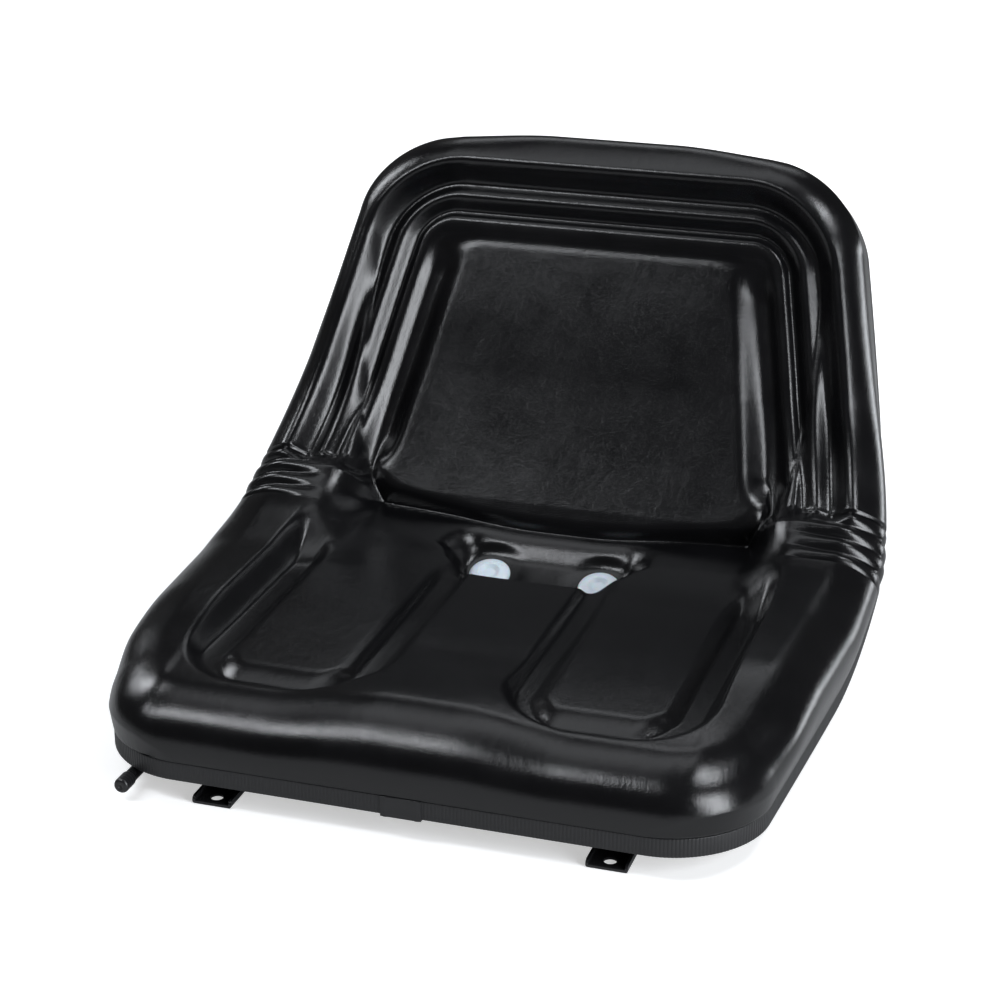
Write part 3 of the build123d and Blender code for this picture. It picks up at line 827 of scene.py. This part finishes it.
    # Grid lines: along the path, then across from the rim
    fold_start: float = 335.0
    fold_end: float = 445.0
    roll_rows: int = 17
    seat_rows: int = 136
    fold_rows: int = 92
    back_rows: int = 112
    roll_reach: float = 24.0
    ring_reach: float = 106.0
    roll_cols: int = 12
    ring_cols: int = 50
    middle_cols: int = 44
    wall_rows: int = 8

    def middle(self, x: np.ndarray) -> np.ndarray:
        """Share of the flat middle: 1 there, 0 on the side bolsters that follow the rim's bend."""
        return self.flat.at(np.abs(x))

    def seat_height(self, x: np.ndarray, s: np.ndarray) -> np.ndarray:
        """Seat: crest and tongue, less the thigh pockets, plus the thigh pads, less the trough by the drains.

        Args:
            x: places across.
            s: path lengths.

        Returns:
            Heights off the pan.
        """
        a = np.abs(x)
        outer = mix(self.thigh_crown, self.side_crown, self.side_rise.at(s))
        outer = mix(outer, self.hip_crown, self.hip_change.at(s))
        inner = mix(self.thigh_crown, self.lobe_crown, self.lobe_change.at(s))
        side = mix(inner, outer, self.bolster.at(a))
        tongue = mix(self.pommel_crown, self.tongue_crown, self.tongue_change.at(s))
        h = mix(side, tongue, self.pommel.at(a))
        pocket = inside_box(a, s, self.pocket, self.pocket_r)
        wall = mix(self.tongue_wall, self.pocket_wall, self.wall_change.at(a))
        h = mix(h, self.pocket_floor, ease(pocket / wall) * self.pocket_end.fade(s))
        pad_s = np.where(s < self.pad_front, mix(self.pad_front, s, self.pad_front_pull), s)
        pad = inside_box(a, pad_s, self.pad, self.pad_r)
        swell = np.sin(QUARTER * np.clip(pad / self.pad_round, 0.0, 1.0))
        h = h + self.pad_rise * swell * self.pad_end.fade(s)
        h = h + self.lobe_lift * self.lobe_end.at(s) * self.middle(x)
        h = self.path.straight(s, h, self.middle(x), False)
        half = self.trough_half + self.trough_flare * self.trough_widen.at(s)
        along = self.trough_start.at(s) * self.trough_end.fade(s)
        return mix(h, self.trough_floor, ease((half - a) / self.trough_side) * along)

    def ring_distance(self, x: np.ndarray, s: np.ndarray) -> np.ndarray:
        """Distance inside the rim with the wide corners that the back's rings follow.

        Args:
            x: places across.
            s: path lengths.

        Returns:
            Corner radius less the length of what lies past the corners' middles.
        """
        a = np.maximum(self.ring_corner - self.ring_out - self.path.side_half(s) + np.abs(x), 0.0)
        b = np.maximum(self.ring_corner - self.path.length + s, 0.0)
        return self.ring_corner - np.hypot(a, b)

    def ring_height(self, d: np.ndarray, inner: np.ndarray) -> np.ndarray:
        """Rings round the panel: broad roll, soft valley, bead, one sharp groove, flat shoulder, soft step.

        Args:
            d: distances inside the rim.
            inner: heights that the last step goes to.

        Returns:
            Heights off the pan.
        """
        h = mix(self.back_crown, self.valley, self.to_valley.at(d))
        h = mix(h, self.bead, self.to_bead.at(d))
        h = mix(h, self.groove, self.to_groove.at(d))
        h = mix(h, self.shoulder, self.to_shoulder.at(d))
        return mix(h, inner, self.to_panel.at(d))

    def back_height(self, x: np.ndarray, s: np.ndarray) -> np.ndarray:
        """Back: rings of roll, bead and shoulder round a pillow panel that stands out most at its lower edge.

        Args:
            x: places across.
            s: path lengths.

        Returns:
            Heights off the pan.
        """
        a = np.abs(x)
        plain = (self.hip_crown + self.back_crown) / 2
        from_top = self.path.length - self.panel_top - s
        inner = self.panel_rise - self.panel_edge * ease(from_top / self.panel_edge_run)
        ring = self.ring_height(self.ring_distance(x, s), inner)
        ring = mix(plain, ring, self.ring_start.at(s))
        from_low = s - (self.panel_low + self.panel_sag * (x / self.panel_sag_half) ** 2)
        across = self.path.side_half(s) - a - self.panel_inset
        along = np.minimum(from_low, self.panel_top_pull * from_top)
        past = np.hypot(np.maximum(self.panel_r - across, 0.0), np.maximum(self.panel_r - along, 0.0))
        panel = self.panel_r - past
        rise = self.panel_rise + self.panel_lumbar * np.clip(from_top / self.panel_lumbar_run, 0.0, 1.0)
        below = mix(self.low_back, ring, self.low_back_side.at(a))
        below = mix(below, ring, ease(from_low / self.low_back_run))
        low_edge, side_edge = round_up(panel / self.panel_round), ease(panel / self.panel_side)
        h = mix(below, rise, mix(low_edge, side_edge, self.panel_side_start.at(from_low)))
        return self.path.straight(s, h, self.flat_back * self.middle(x), True)

    def top_corner(self, x: np.ndarray, s: np.ndarray) -> np.ndarray:
        """Share of the top corners: gain times nearness to the side times nearness to the top, at most 1.

        Args:
            x: places across.
            s: path lengths.

        Returns:
            1 at the corner, 0 away from it.
        """
        across = np.maximum(1.0 - (self.path.side_half(s) - np.abs(x)) / self.path.top_r, 0.0)
        up = np.maximum(1.0 - (self.path.length - s) / self.path.top_r, 0.0)
        return np.minimum(self.corner_gain * across * up, 1.0)

    def gather(self, s: np.ndarray) -> np.ndarray:
        """Depth of the gather notches: round ridges, |cos|, with sharp valleys between.

        Args:
            s: path lengths.

        Returns:
            Depths, 0 away from the gathers.
        """
        first = self.gather_s - self.gather_pitch / 2
        last = self.gather_s + (self.gather_count - 0.5) * self.gather_pitch
        wave = self.gather_depth * (1.0 - np.abs(np.cos(np.pi * (s - self.gather_s) / self.gather_pitch)))
        return np.where((s > first) & (s < last), wave, 0.0)

    def height(self, x: np.ndarray, s: np.ndarray) -> np.ndarray:
        """Height above the pan: seat and back joined by a rounded maximum, dropped round the rim by a roll.

        Args:
            x: places across.
            s: path lengths.

        Returns:
            Heights, with max(a, b) + gap^2 / (4 meet) where seat and back come within meet of each other.
        """
        d = np.maximum(self.path.rim_distance(x, s), 0.0)
        seat, back = self.seat_height(x, s), self.back_height(x, s)
        outer = mix(seat, back, self.side_join.at(s))
        gap = np.maximum(self.meet - np.abs(seat - back), 0.0)
        inner = np.maximum(np.maximum(seat, back) + gap ** 2 / (4.0 * self.meet), self.least)
        h = mix(outer, inner, self.middle(x))
        roll = mix(self.roll_front, self.roll_side, self.roll_to_side.at(s))
        roll = mix(roll, self.roll_back, self.roll_to_back.at(s))
        roll = roll + self.roll_pommel * hump(x, self.roll_pommel_width) * self.roll_pommel_end.fade(s)
        roll = roll + self.roll_corner * self.top_corner(x, s)
        h = h - roll * (1.0 - round_up(d / roll))
        h = h - self.gather(s) * self.gather_reach.at(d)
        plug = np.hypot(np.abs(x) - self.plug_x, s - self.plug_s)
        return mix(h, np.minimum(h, self.plug_seat), self.plug_well.at(plug))

    def bulged(self, x: np.ndarray, s: np.ndarray, h: np.ndarray) -> np.ndarray:
        """Points pushed out past the rim by bulge times exp(-(d / reach)^2) times sin(pi h / height).

        Args:
            x: places across.
            s: path lengths.
            h: heights off the pan.

        Returns:
            Array with a last axis of X, Y, Z in millimetres.
        """
        step, far = self.slope_step, self.path.rim_distance
        d = np.maximum(far(x, s), 0.0)
        gx = (far(x + step, s) - far(x - step, s)) / (2.0 * step)
        gs = (far(x, s + step) - far(x, s - step)) / (2.0 * step)
        size = mix(self.bulge_front, self.bulge_side, self.bulge_to_side.at(s))
        size = mix(size, self.bulge_back, self.bulge_to_back.at(s))
        size = mix(size, self.bulge_top * self.bulge_middle.at(np.abs(x)), self.bulge_to_top.at(s))
        tall = mix(self.bulge_height, self.bulge_back_height, self.bulge_to_low.at(s))
        push = size * hump(d, self.bulge_reach) * np.sin(np.pi * np.clip(h / tall, 0.0, 1.0))
        return self.path.point(x - gx * push, s - gs * push, h)

    def rows(self) -> np.ndarray:
        """Path lengths of the grid rows, close together on the rolls and the gathers.

        Returns:
            Path lengths from the front edge to the top edge.
        """
        turn = 1.0 - np.cos(np.linspace(0.0, QUARTER, self.roll_rows))
        low = np.linspace(self.roll_front, self.fold_start, self.seat_rows)[1:]
        folds = np.linspace(self.fold_start, self.fold_end, self.fold_rows)[1:]
        high = np.linspace(self.fold_end, self.path.length - self.roll_back, self.back_rows)[1:]
        top = self.path.length - self.roll_back * turn[::-1]
        return np.concatenate([self.roll_front * turn, low, folds, high, top[1:]])

    def columns(self, w: np.ndarray) -> np.ndarray:
        """Places across each row: fixed steps from the rim, then shares of what is left.

        Args:
            w: half width of each row.

        Returns:
            Places from the right edge to the left edge, a row for each half width.
        """
        roll = self.roll_reach * (1.0 - np.cos(np.linspace(0.0, QUARTER, self.roll_cols)))
        near = np.concatenate([roll, np.linspace(self.roll_reach, self.ring_reach, self.ring_cols)[1:]])
        share = np.linspace(1.0, 0.0, self.middle_cols)[1:]
        right = np.concatenate([w[:, None] - near, (w[:, None] - self.ring_reach) * share], axis=1)
        return np.concatenate([right, -right[:, -2::-1]], axis=1)

    def build(self) -> bpy.types.Object:
        """Top grid, a wall round its edge down to the pan, and strips across the underside.

        Returns:
            The closed cushion.
        """
        s = self.rows()
        foot = self.path.half_width(s, 0.0)
        w = foot - self.gather_pinch * self.gather(s)
        x = self.columns(w)
        ss = np.broadcast_to(s[:, None], x.shape)
        rim = np.abs(x) >= w[:, None] - TINY
        h = self.height(np.where(rim, np.sign(x) * foot[:, None], x), ss)
        top = self.bulged(x, ss, h)

        # Edge of the grid: front to the right, up the right side, top to the left, down the left side
        rows, cols = x.shape
        index = np.arange(rows * cols).reshape(rows, cols)
        loop = np.concatenate([index[0, ::-1], index[1:, 0], index[-1, 1:], index[-2:0:-1, -1]])
        edge_x, loop_s, loop_h = x.reshape(-1)[loop], ss.reshape(-1)[loop], h.reshape(-1)[loop]
        foot_x = np.concatenate([x[0, ::-1], foot[1:], x[-1, 1:], -foot[-2:0:-1]])
        t = np.linspace(0.0, 1.0, self.wall_rows + 1)[1:, None]
        wall = self.bulged(mix(edge_x, foot_x, t), loop_s + 0.0 * t, loop_h * (1.0 - t))
        count = len(loop)
        below = rows * cols + np.arange(self.wall_rows * count).reshape(-1, count)
        ring = np.concatenate([loop[None], below])
        after = np.roll(ring, -1, axis=1)
        walls = np.stack([ring[:-1], after[:-1], after[1:], ring[1:]], axis=-1).reshape(-1, 4)

        # Underside: a strip between the two sides for each row, and one face at each end
        low = ring[-1]
        top_left = 2 * cols + rows - 2
        right = low[cols - 1:cols + rows - 1]
        left = np.concatenate([low[:1], low[top_left:][::-1], low[top_left - 1:top_left]])
        back = low[cols + rows - 2:top_left]
        under = np.stack([left[1:-2], right[1:-2], right[2:-1], left[2:-1]], axis=-1)
        ends = [
            [int(left[1]), *low[:cols].tolist(), int(right[1])],
            [int(right[-2]), *back.tolist(), int(left[-2])],
        ]
        quads = np.concatenate([grid_quads(rows, cols)[:, ::-1], walls[:, ::-1], under])
        points = np.concatenate([top.reshape(-1, 3), wall.reshape(-1, 3)])
        return mesh_piece("cushion_skin", points, quads, ends)


@dataclass
class EdgeTrim:
    """Ribbed channel strip pushed over the pan's edge, its two ends meeting at the front.

    Insets are from the rim, heights off the pan.
    """

    path: PanPath
    outer: float = 0.4
    slot: float = 2.75
    lip: float = 4.75
    last: float = 7.05
    top: float = -0.4
    lip_top: float = -4.0
    floor: float = -11.0
    foot: float = -15.0
    gap: float = 1.2
    rib_pitch: float = 2.7
    rib_depth: float = 0.34
    step: float = 0.54

    # Rounded edges: inset and drop of the outer ones, size of the inner ones
    mouth_round: float = 0.25
    brow: tuple[float, float] = (0.55, 0.6)
    brow_middle: tuple[float, float] = (0.12, 0.2)
    heel: float = 1.1
    heel_middle: float = 0.3
    inner_heel: float = 0.7
    lip_round: float = 0.3

    # Share of the ribs where the outer edges turn
    brow_ribs: float = 0.6
    heel_ribs: float = 0.7

    def profile(self) -> np.ndarray:
        """Closed channel section, from the slot's mouth over the outer face, the foot and the inner lip.

        Returns:
            Rows of inset from the rim, height off the pan and share of the ribs.
        """
        brow_in, brow_down = self.brow
        turn_in, turn_down = self.brow_middle
        return np.array([
            (self.slot, self.top - self.mouth_round, 0.0),
            (self.slot - self.mouth_round, self.top, 0.0),
            (self.outer + brow_in, self.top, 0.0),
            (self.outer + turn_in, self.top - turn_down, self.brow_ribs),
            (self.outer, self.top - brow_down, 1.0),
            (self.outer, self.foot + self.heel, 1.0),
            (self.outer + self.heel_middle, self.foot + self.heel_middle, self.heel_ribs),
            (self.outer + self.heel, self.foot, 0.0),
            (self.last - self.inner_heel, self.foot, 0.0),
            (self.last, self.foot + self.inner_heel, 0.0),
            (self.last, self.lip_top - self.lip_round, 0.0),
            (self.last - self.lip_round, self.lip_top, 0.0),
            (self.lip + self.lip_round, self.lip_top, 0.0),
            (self.lip, self.lip_top - self.lip_round, 0.0),
            (self.lip, self.floor, 0.0),
            (self.slot, self.floor, 0.0),
        ])

    def build(self) -> bpy.types.Object:
        """Section carried along the rim, its outer face moved in by depth times 1 - |sin(pi run / pitch)|.

        Returns:
            The strip.
        """
        x, s = self.path.outline(0.0, self.step)
        run = path_run(x, s)
        even = np.linspace(self.gap / 2, run[-1] - self.gap / 2, len(run))
        x, s = np.interp(even, run, x), np.interp(even, run, s)
        dx, ds = np.gradient(x, even), np.gradient(s, even)
        size = np.hypot(dx, ds)
        inset, height, share = self.profile().T
        rib = self.rib_depth * (1.0 - np.abs(np.sin(np.pi * even / self.rib_pitch)))
        inward = inset + rib[:, None] * share
        across = x[:, None] - (ds / size)[:, None] * inward
        along = s[:, None] + (dx / size)[:, None] * inward
        return swept_piece("edge_trim_ribbed", self.path.point(across, along, height))


@dataclass
class JointClip:
    """Sheet clip over the joint of the trim, with rounded edges and a shallow rib at each end."""

    path: PanPath
    trim: EdgeTrim
    width: float = 30.0
    sheet: float = 1.0
    edge: float = 0.45
    edge_points: int = 5

    # Rib on the front: distances from the clip's end, and its rise at each
    rib_from_end: tuple[float, ...] = (5.2, 4.4, 2.4, 1.6)
    rib_rise: tuple[float, ...] = (0.0, 0.22, 0.22, 0.0)

    def build(self) -> bpy.types.Object:
        """Channel section in the Y-Z plane carried across, drawn in at its ends by edge / 2 times 1 - cos.

        Returns:
            The clip.
        """
        front = self.path.front_edge + self.trim.outer
        rear = self.path.front_edge + self.trim.last
        foot = self.path.pan_height + self.trim.foot
        top = self.path.pan_height + self.trim.top
        lip = self.path.pan_height + self.trim.lip_top
        loop = round_corners(np.array([
            (front - self.sheet, foot - self.sheet), (rear + self.sheet, foot - self.sheet),
            (rear + self.sheet, lip), (rear, lip), (rear, foot),
            (front, foot), (front, top), (front - self.sheet, top),
        ]), self.edge)
        side = np.roll(loop, -1, axis=0) - np.roll(loop, 1, axis=0)
        normal = np.stack([-side[:, 1], side[:, 0]], axis=-1)
        normal = normal / np.maximum(np.linalg.norm(normal, axis=1, keepdims=True), TINY)
        turn = np.linspace(0.0, QUARTER, self.edge_points)
        half = self.width / 2
        tail = half - self.edge * (1.0 - np.sin(turn))
        pull = self.edge / 2 * (1.0 - np.cos(turn))
        rib, rise = half - np.array(self.rib_from_end), np.array(self.rib_rise)
        xs = np.concatenate([-tail[::-1], -rib[::-1], [0.0], rib, tail])
        moves = np.concatenate([pull[::-1], -rise[::-1], [0.0], -rise, pull])[:, None]
        on_front = (loop[:, 0] < front - self.sheet / 2)[None, :]
        moves = np.where(moves < 0.0, np.where(on_front, moves, 0.0), moves)
        yz = loop[None] + normal[None] * moves[:, :, None]
        points = np.concatenate([np.broadcast_to(xs[:, None, None], (*yz.shape[:2], 1)), yz], axis=-1)
        return swept_piece("trim_joint_clip_moulded", points)


@dataclass
class DrainPlug:
    """Milky push-in plug with a domed flange and a dish in its middle."""

    path: PanPath
    cushion: Cushion
    radius: float = 17.0
    dome: float = 5.0
    dish: float = 2.4
    stem: float = 8.0
    catch: float = 9.6
    catch_round: float = 0.1
    pan_sheet: float = 1.5
    play: float = 0.3
    edge: float = 0.3
    flange: float = 1.0

    # Barbed foot: its length, and how far its end lies inside the stem
    foot: float = 5.0
    foot_in: float = 1.4
    foot_round_in: float = 0.9

    # Shares of the radius: top of the dome, and middle and half of the dish's wall
    crown: float = 0.5
    bowl: float = 0.41
    bowl_half: float = 0.09

    # Raised middle of the dish: shares of the radius, and heights above its floor
    button: tuple[float, ...] = (0.24, 0.12, 0.001)
    button_rise: tuple[float, ...] = (0.1, 0.25, 0.3)

    dome_points: int = 14
    bowl_points: int = 10
    places_round: int = 96

    def profile(self) -> np.ndarray:
        """Half section from the foot's middle round the catch, the stem and the flange to the dish's middle.

        Returns:
            Rows of radius and height: a quarter ellipse for the dome and a half cosine for the dish's wall.
        """
        seat, under, r = self.cushion.plug_seat, -self.pan_sheet - self.play, self.radius
        foot = np.array([
            (POLE, under - self.foot),
            (self.stem - self.foot_in, under - self.foot),
            (self.stem - self.foot_round_in, under - self.foot + self.edge),
            (self.catch, under - self.edge),
            (self.catch - self.catch_round, under),
            (self.stem, under),
            (self.stem, seat - self.edge),
            (self.stem + self.edge, seat),
            (r - self.edge, seat),
            (r, seat + self.edge),
        ])
        t = np.linspace(0.0, QUARTER, self.dome_points)
        u = np.linspace(0.0, np.pi, self.bowl_points)[1:]
        top, rise = seat + self.dome, seat + self.flange + (self.dome - self.flange) * np.sin(t)
        dome = np.stack([r * mix(self.crown, 1.0, np.cos(t)), rise], axis=-1)
        wall = r * (self.bowl + self.bowl_half * np.cos(u))
        bowl = np.stack([wall, top - self.dish * (1.0 - np.cos(u)) / 2], axis=-1)
        button = np.stack([r * np.array(self.button), top - self.dish + np.array(self.button_rise)], axis=-1)
        return np.concatenate([foot, dome, bowl, button])

    def build(self, name: str, x: float) -> bpy.types.Object:
        """Half section turned round the pan's normal at the plug's place.

        Args:
            name: name of the piece.
            x: place across.

        Returns:
            The plug.
        """
        origin = self.path.point(x, self.cushion.plug_s, 0.0)
        axis = self.path.point(x, self.cushion.plug_s, 1.0) - origin
        return turned_piece(name, self.profile(), self.places_round, origin, axis)


@dataclass
class LeverCap:
    """Moulded cap pushed on the lever rod, with a rounded nose, a dimple and grip grooves."""

    x: float = -210.0
    z: float = 12.0
    tip: float = -175.0
    rod_r: float = 4.8
    wall: float = 0.9
    length: float = 14.0
    nose: float = 2.6
    nose_points: int = 9
    dimple: float = 0.81
    dimple_r: float = 1.5
    dimple_points: int = 6
    groove_pitch: float = 3.1
    groove_width: float = 0.42
    groove_depth: float = 0.22
    grip_start: float = 0.8
    grip_end: float = 0.9
    grip_points: int = 24
    rim_round: float = 0.35
    rim_lean: float = 0.1
    places_round: int = 64

    def build(self) -> bpy.types.Object:
        """Half section turned round the rod's line: dimple, round nose, bell-shaped grooves, rim and bore.

        Returns:
            The cap.
        """
        r, end = self.rod_r + self.wall, 2.0 * self.wall
        u = np.linspace(0.0, QUARTER, self.dimple_points)
        dimple = np.stack([np.maximum(self.dimple_r * np.sin(u), POLE), self.dimple * np.cos(u)], axis=-1)
        t = np.linspace(0.0, QUARTER, self.nose_points)
        nose = np.stack([r - self.nose + self.nose * np.sin(t), self.nose * (1.0 - np.cos(t))], axis=-1)
        run = np.linspace(self.nose + self.grip_start, self.length - self.grip_end, self.grip_points)
        from_groove = run % self.groove_pitch - self.groove_pitch / 2
        grip = np.stack([r - self.groove_depth * hump(from_groove, self.groove_width), run], axis=-1)
        rim = np.array([
            (r - self.rim_lean, self.length - self.rim_round), (r - self.rim_round, self.length),
            (self.rod_r, self.length), (self.rod_r, end), (POLE, end),
        ])
        profile = np.concatenate([dimple, nose, grip, rim])
        origin, axis = np.array([self.x, self.tip - end, self.z]), np.array([0.0, 1.0, 0.0])
        return turned_piece("lever_cap_moulded", profile, self.places_round, origin, axis)


@dataclass(frozen=True)
class SoftBox:
    """Rectangular soft light: places and size in metres, glow as the radiance of its face."""

    name: str
    spot: Triple
    size: tuple[float, float]
    glow: float
    aim: Triple = (0.0, 0.05, 0.15)

    def build(self, tone: Triple) -> None:
        """Area light turned to its aim, with a power of glow times pi times its area.

        Args:
            tone: colour of the light.
        """
        data = bpy.data.lights.new(self.name, "AREA")
        data.shape = "RECTANGLE"
        data.size, data.size_y = self.size
        data.energy = self.glow * math.pi * self.size[0] * self.size[1]
        data.color = tone
        obj = bpy.data.objects.new(self.name, data)
        obj.location = self.spot
        obj.rotation_euler = (Vector(self.aim) - Vector(self.spot)).to_track_quat("-Z", "Y").to_euler()
        bpy.context.scene.collection.objects.link(obj)


@dataclass
class Studio:
    """Camera, lights and floor; places in metres, the floor's own sizes in millimetres."""

    azimuth: float = 17.9
    elevation: float = 21.82
    distance: float = 1.83068
    focal_px: float = 2455.17
    frame_px: float = 1000.0
    sensor: float = 36.0
    view_end: float = 50.0
    target: Triple = (0.0, 0.0611, 0.204)
    shift_right: float = -0.00198
    shift_up: float = -0.03371
    tone: Triple = (0.93, 0.96, 1.0)
    boxes: tuple[SoftBox, ...] = (
        SoftBox("box_over", (-1.25, -0.95, 2.05), (1.6, 0.4), 12.0, aim=(-1.25, 0.05, 0.15)),
        SoftBox("box_top", (-0.35, 0.45, 2.3), (1.8, 1.0), 1.2),
        SoftBox("box_right", (1.65, -0.85, 0.72), (0.8, 1.4), 11.0),
        SoftBox("box_left", (-1.62, 0.62, 1.24), (0.4, 0.9), 9.0),
        SoftBox("box_behind", (-0.3, 1.7, 1.5), (1.2, 0.4), 1.5),
        SoftBox("box_far_right", (1.9, 1.7, 0.2), (1.2, 0.4), 7.0),
        SoftBox("box_high_right", (1.1, 0.1, 1.95), (0.6, 0.45), 14.0),
    )

    # World and floor: values for other rays, then for the camera's
    world_light: tuple[float, float] = (0.05, 1.0)
    floor_tone: tuple[float, float] = (0.6, 0.85)
    floor_shown: tuple[float, float] = (0.0, 1.0)
    floor_half: float = 12000.0
    floor_drop: float = 0.4

    # Glow of the floor that the camera sees, from near the seat to far off in metres
    glow_span: tuple[float, float] = (0.45, 1.1)
    glow: tuple[float, float] = (0.5, 1.0)

    def camera(self) -> None:
        """Camera on a sphere round the target, moved a little sideways and up."""
        a, e = math.radians(self.azimuth), math.radians(self.elevation)
        back = Vector((math.sin(a) * math.cos(e), -math.cos(a) * math.cos(e), math.sin(e)))
        right = Vector((math.cos(a), math.sin(a), 0.0))
        up = back.cross(right)
        data = bpy.data.cameras.new("camera")
        data.sensor_fit = "HORIZONTAL"
        data.sensor_width = self.sensor
        data.lens = self.focal_px / self.frame_px * self.sensor
        data.clip_end = self.view_end
        obj = bpy.data.objects.new("camera", data)
        bpy.context.scene.collection.objects.link(obj)
        spot = Vector(self.target) + right * self.shift_right + up * self.shift_up + back * self.distance
        turn = Matrix((right, up, back)).transposed()
        obj.matrix_world = Matrix.Translation(spot) @ turn.to_4x4()
        bpy.context.scene.camera = obj

    def camera_ray(self, tree: bpy.types.NodeTree, values: tuple[float, float]) -> bpy.types.NodeSocket:
        """Value that is one number for camera rays and another for all other rays.

        Args:
            tree: node tree of a material or the world.
            values: number for other rays, then for camera rays.

        Returns:
            Output with the value.
        """
        path = tree.nodes.new("ShaderNodeLightPath")
        node = tree.nodes.new("ShaderNodeMapRange")
        node.inputs["To Min"].default_value, node.inputs["To Max"].default_value = values
        tree.links.new(path.outputs["Is Camera Ray"], node.inputs["Value"])
        return node.outputs["Result"]

    def world(self) -> None:
        """Dim even light, white where the camera sees it."""
        world = bpy.data.worlds.new("studio")
        bpy.context.scene.world = world
        world.use_nodes = True
        tree = world.node_tree
        shade = tree.nodes["Background"]
        shade.inputs["Color"].default_value = WHITE
        tree.links.new(self.camera_ray(tree, self.world_light), shade.inputs["Strength"])

    def floor(self) -> None:
        """Wide floor under the rails: white far off, and lit near the seat so that it keeps a soft shadow."""
        half, z = self.floor_half, -self.floor_drop
        corners = np.array([[-half, -half, z], [half, -half, z], [half, half, z], [-half, half, z]])
        obj = mesh_piece("floor", corners, np.array([[0, 1, 2, 3]]))
        t = NodeTree("floor_white")
        tree = t.material.node_tree
        away = t.add("ShaderNodeVectorMath", operation="LENGTH")
        t.join(t.coords, away.inputs[0])
        shown = t.add("ShaderNodeMath", operation="MULTIPLY")
        t.join(t.ramp(away.outputs["Value"], self.glow_span, self.glow), shown.inputs[0])
        t.join(self.camera_ray(tree, self.floor_shown), shown.inputs[1])
        t.feed("Emission Strength", shown.outputs[0])
        t.feed("Base Color", self.camera_ray(tree, self.floor_tone))
        t.fix("Emission Color", WHITE)
        t.fix("Roughness", 1.0)
        t.fix("Specular IOR Level", 0.0)
        obj.data.materials.append(t.material)

    def build(self) -> None:
        """Set the camera, the lights, the world and the floor."""
        self.camera()
        for box in self.boxes:
            box.build(self.tone)
        self.world()
        self.floor()
        bpy.context.scene.view_settings.view_transform = "Standard"


@dataclass
class Hardware:
    """CAD nodes that show as they are, each with its finish."""

    finishes: dict[str, PlainFinish] = field(default_factory=lambda: {
        "seat_pan": PAN_PAINT,
        "upper_rail_left": PAINT,
        "upper_rail_right": PAINT,
        "lower_rail_left": PAINT,
        "lower_rail_right": PAINT,
        "rail_glides_left": NYLON,
        "rail_glides_right": NYLON,
        "pan_studs": ZINC,
        "stud_washers": ZINC,
        "stud_nuts": ZINC,
        "latch_bracket": PAINT,
        "bracket_rivets": ZINC,
        "lever_pivot_pin": ZINC,
        "lock_lever": PAINT,
    })

    def dress(self, nodes: dict[str, bpy.types.Object]) -> None:
        """Give each CAD node its finish.

        Args:
            nodes: the frame's objects by node name.
        """
        made = {finish: finish.build() for finish in dict.fromkeys(self.finishes.values())}
        for name, finish in self.finishes.items():
            slots = nodes[name].data.materials
            slots.clear()
            slots.append(made[finish])
            LOG.info("dressed %s with %s", name, finish.name)


def main() -> None:
    """Build the studio and every piece, in order."""
    logging.basicConfig(level=logging.INFO)
    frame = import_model()
    path = PanPath()
    Studio().build()
    Hardware().dress(frame["nodes"])
    shape = Cushion(path)
    cushion = shape.build()
    place(cushion, Body.SEAT, "vinyl", VinylFinish().build(), "cushion")
    trim = EdgeTrim(path)
    place(trim.build(), Body.SEAT, "trim_rubber", RUBBER.build(), "edge_trim")
    place(JointClip(path, trim).build(), Body.SEAT, "clip_plastic", CLIP.build(), "trim_joint_clip")
    milky = MILKY.build()
    plug = DrainPlug(path, shape)
    place(plug.build("plug_left", -shape.plug_x), Body.SEAT, "plug_plastic", milky, "drain_plug_left")
    place(plug.build("plug_right", shape.plug_x), Body.SEAT, "plug_plastic", milky, "drain_plug_right")
    place(LeverCap().build(), Body.LEVER, "cap_plastic", CAP.build(), "lever_cap")


if __name__ == "__main__":
    main()
